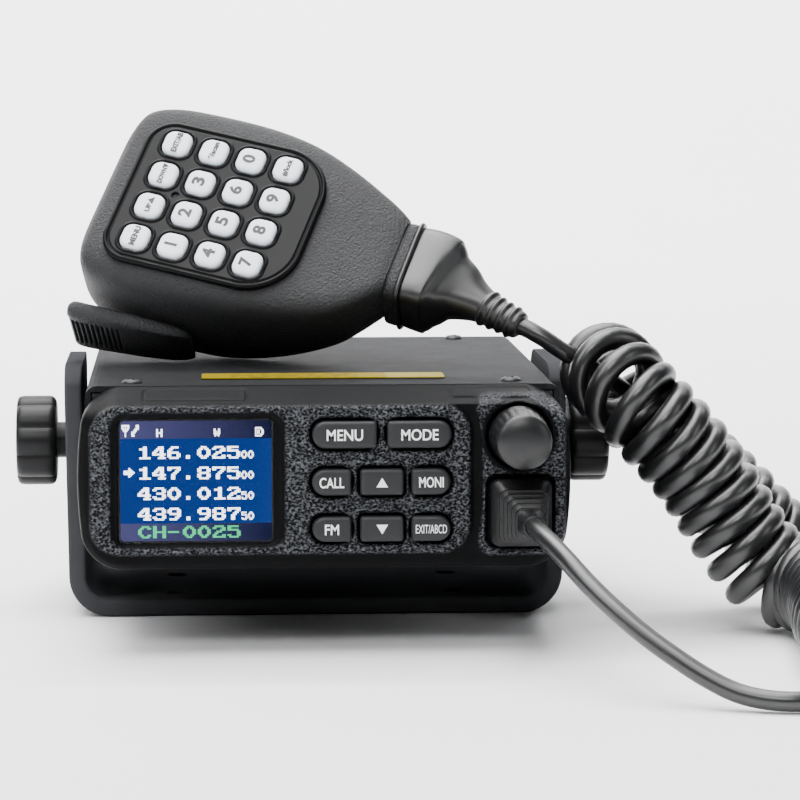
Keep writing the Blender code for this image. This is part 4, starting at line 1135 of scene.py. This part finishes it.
def make_mic_keys():
    milk = milky_key()
    ink = printed_ink("dark_ink", (0.004, 0.0045, 0.006))

    def outline(inset):
        return rounded_outline(MIC_KEY_SIZE, MIC_KEY_SIZE, 2.1, inset, 8)

    levels = [(0.0, -1.2), (0.0, 0.25), (0.10, 0.52), (0.32, 0.72), (0.7, 0.84)]
    reading = Matrix.Rotation(QUARTER, 4, "Z")
    for (name, legend, size), x, y in key_centres():
        body = f"mic_key_{name}"
        place = MIC_TURN @ Matrix.Translation((x, y, 0))
        piece(f"{body}_cap", stacked(outline, levels, 0.10), milk, body, (body,), place, 60)
        drop = 0.35 if len(legend) == 1 else 0.0
        top = MIC_TURN @ Matrix.Translation((x - drop, y, 0.955)) @ reading
        lettering(f"{body}_legend", legend, size, top, ink, body, weight=0.04 if len(legend) == 1 else 0.05)


def make_ptt(grained):
    """The push-to-talk lever: a tapered ridge along its front edge and slots across its outer face."""
    # X, inner Y, outer Y, front Z
    rows = [
        (-24.6, -26.4, -27.4, -11.2),
        (-24.2, -25.7, -28.5, -9.8),
        (-23.2, -25.4, -29.2, -9.0),
        (-21.2, -25.4, -29.4, -8.8),
        (-15.0, -25.2, -28.9, -9.2),
        (-6.0, -24.6, -27.8, -10.8),
        (-1.0, -24.3, -26.8, -12.2),
        (1.4, -24.2, -25.9, -13.4),
        (2.4, -24.3, -25.2, -14.8),
    ]
    deep = -22.6
    rings = []
    for x, inner, outer, front in flowing(rows, spacing=0.12):
        slot = 0.0
        place = (x + 23.0) / 1.13
        if -0.5 < place < PTT_RIBS - 0.5:
            fade = 1 - 0.55 * max(0.0, place) / PTT_RIBS
            slot = 0.75 * fade * (0.5 + 0.5 * math.cos(math.tau * place)) ** 1.5
        taper = float(np.clip((2.4 - x) / 22.0, 0.15, 1))
        rings.append([(x, y, z) for y, z in ptt_section(inner, outer, front, deep, taper, slot)])
    piece("talk_lever", loft(rings), grained, "ptt", ("ptt_lever",), MIC_TURN, 50)


def ptt_section(inner, outer, front, deep, taper, slot):
    """Across the lever: a round bead at its front edge, then the outer face down to its back edge."""
    bead = 1.5 * taper + 0.3
    middle = (inner + outer) / 2
    half = (inner - outer) / 2
    points = []
    for step in range(12, -1, -1):
        angle = math.pi * step / 12
        points.append((middle - half * math.cos(angle), front - bead + bead * math.sin(angle)))
    face = outer + 0.35 * taper
    for step in range(1, 22):
        share = step / 22
        z = front - bead - (front - bead - deep) * share
        inside = 0.14 < share < 0.86
        points.append((face + (slot if inside else 0.0), z))
    points += [(face + 0.5, deep), (inner - 0.4, deep), (inner, deep + 0.5)]
    for step in range(1, 8):
        points.append((inner, deep + 0.5 + (front - bead - deep - 0.5) * step / 8))
    return points


def boot_ring(x, y, z, width, depth, roundness, slope, count=64):
    angle = math.tau * (np.arange(count) + 0.5) / count
    across, out = np.cos(angle), np.sin(angle)
    power = 2 + 4 * (1 - roundness)
    dy = width / 2 * np.sign(across) * np.abs(across) ** (2 / power)
    dz = depth / 2 * np.sign(out) * np.abs(out) ** (2 / power)
    return np.stack([x - slope * dy, y + dy, z + dz], 1)


def boot_part(name, rows, look, spacing, ribs=(), stands_for=()):
    rows = flowing(rows, spacing=spacing)
    rings = []
    for number, (x, y, z, width, depth, roundness) in enumerate(rows):
        before, after = rows[max(number - 1, 0)], rows[min(number + 1, len(rows) - 1)]
        slope = (after[1] - before[1]) / max(after[0] - before[0], 1e-6)
        swell = sum(float(near(x - rib, 0.62)) ** 0.6 for rib in ribs) * 0.95
        rings.append(boot_ring(x, y, z, width + swell, depth + swell, min(max(roundness, 0), 1), slope))
    return piece(name, loft(rings), look, "microphone", stands_for, MIC_TURN, 60)


def make_boot(grained):
    """Grained collar, a thin ring, and the smooth boot that narrows to a ribbed strain relief."""
    collar = [
        (40.6, 0.7, -11.0, 18.8, 14.0, 0.2),
        (41.0, 0.7, -11.0, 19.6, 14.8, 0.2),
        (43.3, 0.7, -11.0, 19.8, 15.0, 0.2),
        (43.5, 0.7, -11.0, 19.0, 14.2, 0.2),
    ]
    boot_part("boot_collar", collar, grained, 0.3)
    ring = [
        (43.5, 0.7, -11.0, 18.8, 14.0, 0.2),
        (43.6, 0.7, -11.0, 20.6, 15.8, 0.2),
        (44.0, 0.7, -11.0, 21.0, 16.2, 0.2),
        (44.4, 0.7, -11.0, 20.6, 15.8, 0.2),
        (44.5, 0.7, -11.0, 18.8, 14.0, 0.2),
    ]
    smooth_rubber = plastic("boot_rubber", (0.0048, 0.0050, 0.0057), 0.40, 0.9, 0.012, sheen=0.75, wear=1.5)
    boot_part("boot_ring", ring, smooth_rubber, 0.1)
    boot = [
        (44.4, 0.7, -11.0, 18.8, 14.2, 0.2),
        (44.8, 0.7, -11.0, 19.3, 14.8, 0.2),
        (47.6, 0.6, -11.1, 19.6, 15.6, 0.2),
        (50.2, 0.4, -11.3, 19.2, 15.8, 0.22),
        (51.6, 0.1, -11.3, 17.6, 14.8, 0.28),
        (53.2, -0.3, -11.0, 14.8, 12.6, 0.42),
        (55.6, -0.9, -10.3, 11.9, 9.8, 0.62),
        (58.4, -1.9, -10.2, 9.2, 8.4, 0.85),
        (61.6, -3.0, -10.1, 7.3, 7.2, 1.0),
        (64.4, -4.0, -10.0, 6.5, 6.5, 1.0),
        (67.0, -4.8, -9.9, 6.1, 6.1, 1.0),
        (70.0, -5.7, -9.8, 5.8, 5.8, 1.0),
        (70.6, -5.9, -9.8, 4.8, 4.8, 1.0),
    ]
    ribs = (62.6, 64.6, 66.6, 68.6)
    boot_part("cord_boot_body", boot, smooth_rubber, 0.16, ribs, ("cord_boot",))


def make_hang_stud():
    steel = metal("stud_steel", (0.56, 0.56, 0.57), 0.28)
    back = min(section[4] for section in MIC_SECTIONS)
    profile = [
        (0.0, 2.6), (3.0, 2.6), (3.1, -1.4), (3.4, -1.7), (5.1, -2.5), (5.4, -2.8),
        (5.4, -4.1), (5.1, -4.4), (3.2, -4.55), (2.6, -4.1), (0.0, -4.1),
    ]
    turn = MIC_TURN @ Matrix.Translation((4.0, 4.0, back - 0.3))
    piece("hanging_stud", turned(profile, 48), steel, "microphone", ("hang_stud",), turn)


def make_microphone():
    grained = plastic("mic_plastic", (0.0130, 0.0136, 0.0150), 0.50, 0.58, 0.50, sheen=0.30, wear=1.6)
    make_mic_shells(grained)
    make_keypad()
    make_mic_keys()
    make_ptt(grained)
    make_boot(grained)
    make_hang_stud()


# ---------------------------------------------------------------- body, bracket and rear


def make_bracket(paint):
    """The U of sheet metal, as a rounded strip bent along its path, with its screw holes."""
    outer = BRACKET_HALF_WIDTH
    middle = BRACKET_CORNER - BRACKET_SHEET / 2
    arc_x = outer - BRACKET_LEAN - BRACKET_CORNER
    half_sheet = BRACKET_SHEET / 2
    path = [(outer - half_sheet, z) for z in np.linspace(BRACKET_TOP - 0.02, BRACKET_TOP - BRACKET_TOP_CORNER, 16)]
    low = BRACKET_CORNER + 2.0
    path += [
        (outer - half_sheet - BRACKET_LEAN * (path[-1][1] - z) / (path[-1][1] - BRACKET_CORNER), z)
        for z in np.linspace(path[-1][1], low, 10)[1:]
    ]
    angles = np.radians(np.linspace(0, -90, 12))
    path += [(arc_x + middle * math.cos(a), BRACKET_CORNER + middle * math.sin(a)) for a in angles]
    path += [(x, half_sheet) for x in np.linspace(arc_x, 0, 12)[1:]]
    path += [(-x, z) for x, z in path[-2::-1]]
    path = np.array(path)
    ahead = np.gradient(path, axis=0)
    ahead /= np.linalg.norm(ahead, axis=1)[:, None]
    rings = []
    for (x, z), (ax, az) in zip(path, ahead):
        away = BRACKET_TOP - z
        corner = BRACKET_TOP_CORNER
        cut = corner - math.sqrt(max(corner**2 - (corner - away) ** 2, 0)) if away < corner else 0.0
        half = BRACKET_DEPTH / 2 - max(cut - 1.0, 0.0)
        ring = np.array([(x + n * az, y, z - n * ax) for y, n in rounded_outline(2 * half, BRACKET_SHEET, 0.7, 0.0, 4)])
        low = float(np.clip(1.2 - z / (2 * BRACKET_CORNER), 0, 1))
        behind = ring[:, 1] > 0
        ring[behind, 1] += (BRACKET_BASE_REAR - BRACKET_DEPTH / 2) * low * ring[behind, 1] / half
        rings.append(ring)
    for place in (0, -1):
        ring = np.array(rings[place])
        centre = ring.mean(0)
        lid = centre + (ring - centre) * (0.6, 0.965, 1.0)
        rings.insert(0, lid) if place == 0 else rings.append(lid)
    bracket = piece("bracket_strip", loft(rings), paint, "bracket", ("mounting_bracket",))
    cutters = []
    for x, y in ((-30, -12), (30, -12), (-30, 12), (30, 12)):
        cutters.append(cutter(turned([(0, 6), (2.3, 6), (2.3, -2), (0, -2)], 32), Matrix.Translation((x, y, 0))))
    carve(bracket, cutters)


def cutter(shape, turn):
    points, faces = shape
    data = bpy.data.meshes.new("cutter")
    data.from_pydata(np.asarray(points, float).tolist(), [], faces)
    data.transform(Matrix.Scale(MM, 4) @ turn)
    form = bmesh.new()
    form.from_mesh(data)
    bmesh.ops.remove_doubles(form, verts=form.verts, dist=1e-7)
    bmesh.ops.recalc_face_normals(form, faces=form.faces)
    form.to_mesh(data)
    form.free()
    thing = bpy.data.objects.new("cutter", data)
    bpy.context.scene.collection.objects.link(thing)
    return thing


def carve(thing, cutters):
    """Cuts the cutters out of a piece's mesh and removes them."""
    for number, tool in enumerate(cutters):
        step = thing.modifiers.new(f"cut_{number}", "BOOLEAN")
        step.object = tool
        step.operation = "DIFFERENCE"
        step.solver = "EXACT"
    graph = bpy.context.evaluated_depsgraph_get()
    data = bpy.data.meshes.new_from_object(thing.evaluated_get(graph))
    thing.modifiers.clear()
    thing.data = data
    for tool in cutters:
        bpy.data.objects.remove(tool)


def make_clamp_knobs(look):
    """Moulded knobs with broad scalloped grips, a rolled rim and a boss against the bracket."""
    steps = CLAMP_GRIPS * 24
    angles = np.arange(steps) * math.tau / steps
    wave = np.abs(np.sin(angles * CLAMP_GRIPS / 2))
    thick = CLAMP_OUTER - CLAMP_INNER
    # Height along the axis, radius and how deep the scallops are
    rows = [
        (-2.2, 3.9, 0.0), (-0.05, 3.9, 0.0), (0.0, 7.4, 0.0), (0.0, 8.6, 0.3), (0.3, 9.3, 0.7), (0.9, 9.7, 1.0),
        (1.6, CLAMP_RADIUS, 1.0), (thick - 1.5, CLAMP_RADIUS, 1.0), (thick - 0.7, 9.65, 1.0),
        (thick - 0.2, 9.2, 0.8), (thick, 8.5, 0.4), (thick, 7.2, 0.0), (thick - 0.7, 6.8, 0.0),
        (thick - 0.9, 3.2, 0.0), (thick - 0.8, 0.0, 0.0),
    ]
    rings = []
    for height, radius, share in rows:
        reach = radius - 0.75 * share * (1 - wave**0.7)
        rings.append(np.stack([reach * np.cos(angles), reach * np.sin(angles), np.full(steps, height)], 1))
    for side, name, turn in ((1, "right", FACING_RIGHT), (-1, "left", FACING_LEFT)):
        place = moved(side * CLAMP_INNER, 0, PIVOT_Z, turn @ Matrix.Rotation(math.radians(14), 4, "Z"))
        node = f"clamp_knob_{name}"
        piece(f"{node}_grip", loft(rings), look, f"clamp_{name}", (node,), place, 40)


def make_cover_screws(look):
    profile = [(0.0, 0.55), (0.5, 0.66), (1.5, 0.5), (2.0, 0.12), (2.1, -0.1), (1.0, -0.2), (1.0, -2.4), (0, -2.4)]
    for number, (x, y) in enumerate(SCREW_PLACES, 1):
        node = f"cover_screw_{number}"
        seat = Matrix.Translation((x, y, BODY_TOP + 0.2))
        screw = piece(f"{node}_head", turned(profile, 40), look, "radio", (node,), seat)
        slots = []
        for turn in (20, 110):
            outline = rounded_outline(2.3, 0.5, 0.1)
            block = loft([[(u, v, z) for u, v in outline] for z in (0.15, 1.2)])
            slots.append(cutter(block, seat @ Matrix.Rotation(math.radians(turn), 4, "Z")))
        carve(screw, slots)


def make_antenna_socket(look):
    """A threaded coaxial socket on a flange, with a white insulator round its contact."""
    profile = [(0.0, -4.0), (6.0, -4.0), (6.0, 0.3), (9.2, 0.3), (9.4, 0.5), (9.4, 2.2), (9.2, 2.4), (7.4, 2.4)]
    pitch, crest, root = 1.0, 7.6, 7.05
    for turn in range(11):
        height = 3.2 + pitch * turn
        profile += [(root, height), (crest, height + 0.35), (crest, height + 0.5), (root, height + 0.85)]
    profile += [
        (7.1, 14.4), (6.7, 15.0), (5.4, 15.0), (5.2, 14.7), (5.2, 12.6), (2.2, 12.6), (1.9, 12.4),
        (1.9, 4.0), (0, 4.0),
    ]
    turn = moved(ANTENNA[0], REAR_FACE, ANTENNA[1], FACING_REAR)
    piece("antenna_thread", turned(profile, 72), look, "radio", ("antenna_socket",), turn, 30)
    ring = [(2.0, 12.7), (5.1, 12.7), (5.1, 13.0), (2.0, 13.0), (2.0, 12.7)]
    white = printed_ink("insulator", (0.78, 0.78, 0.76), 0.35)
    points, faces = turned(ring, 48)
    piece("antenna_insulator", (points, faces[:-2]), white, "radio", turn=turn)


def make_gland(look):
    profile = [
        (0.0, -2.6), (4.1, -2.6), (4.1, 0.3), (5.5, 0.3), (5.6, 0.5), (5.6, 1.2), (5.4, 1.6), (4.6, 2.2), (4.5, 2.5),
        (4.2, 2.6), (3.9, 3.1), (3.5, 3.4), (0.0, 3.4),
    ]
    turn = moved(GLAND[0], REAR_FACE, GLAND[1], FACING_REAR)
    gland = piece("power_gland_body", turned(profile, 56), look, "radio", ("power_gland",), turn)
    holes = []
    for side in (-1, 1):
        bore = turned([(0, 8), (1.2, 8), (1.2, -8), (0, -8)], 24)
        holes.append(cutter(bore, turn @ Matrix.Translation((side * 1.7, 0, 2.5))))
    carve(gland, holes)


def finish_frame():
    """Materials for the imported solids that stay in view."""
    paint = plastic("body_paint", (0.0088, 0.0092, 0.0100), 0.66, 0.45, 0.14, sheen=0.05, wear=1.8)
    alloy = plastic("cast_black", (0.010, 0.0103, 0.0112), 0.42, 0.5, 0.04, sheen=0.35, wear=1.9, Metallic=0.3)
    black = plastic("inner_plastic", (0.005, 0.0052, 0.0057), 0.5, 0.6, 0.02, sheen=0.35)
    zinc = metal("zinc", (0.50, 0.50, 0.52), 0.3)
    green = board_green()
    looks = {
        "top_cover": paint,
        "rear_panel": paint,
        "chassis": alloy,
        "speaker": alloy,
        "encoder_body": zinc,
        "encoder_shaft": zinc,
        "mic_jack": black,
        "fan_frame": black,
        "fan_rotor": black,
        "mic_capsule": zinc,
        "main_board": green,
        "mic_board": green,
        "rating_label": caution_film(),
    }
    for node, look in looks.items():
        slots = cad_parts[node].data.materials
        slots.clear()
        slots.append(look)
    make_bracket(plastic("bracket_paint", (0.042, 0.043, 0.046), 0.9, 0.35, 0.05, sheen=0.0, wear=1.5))
    make_clamp_knobs(plastic("grip_plastic", (0.0045, 0.0047, 0.0052), 0.42, 0.6, 0.02, sheen=0.2, wear=2.4))
    make_cover_screws(alloy)
    make_antenna_socket(metal("nickel", (0.62, 0.60, 0.56), 0.2))
    make_gland(black)


make_camera()
make_cords()
make_studio()
make_face()
make_screen()
make_face_keys()
make_volume_knob()
make_microphone()
finish_frame()
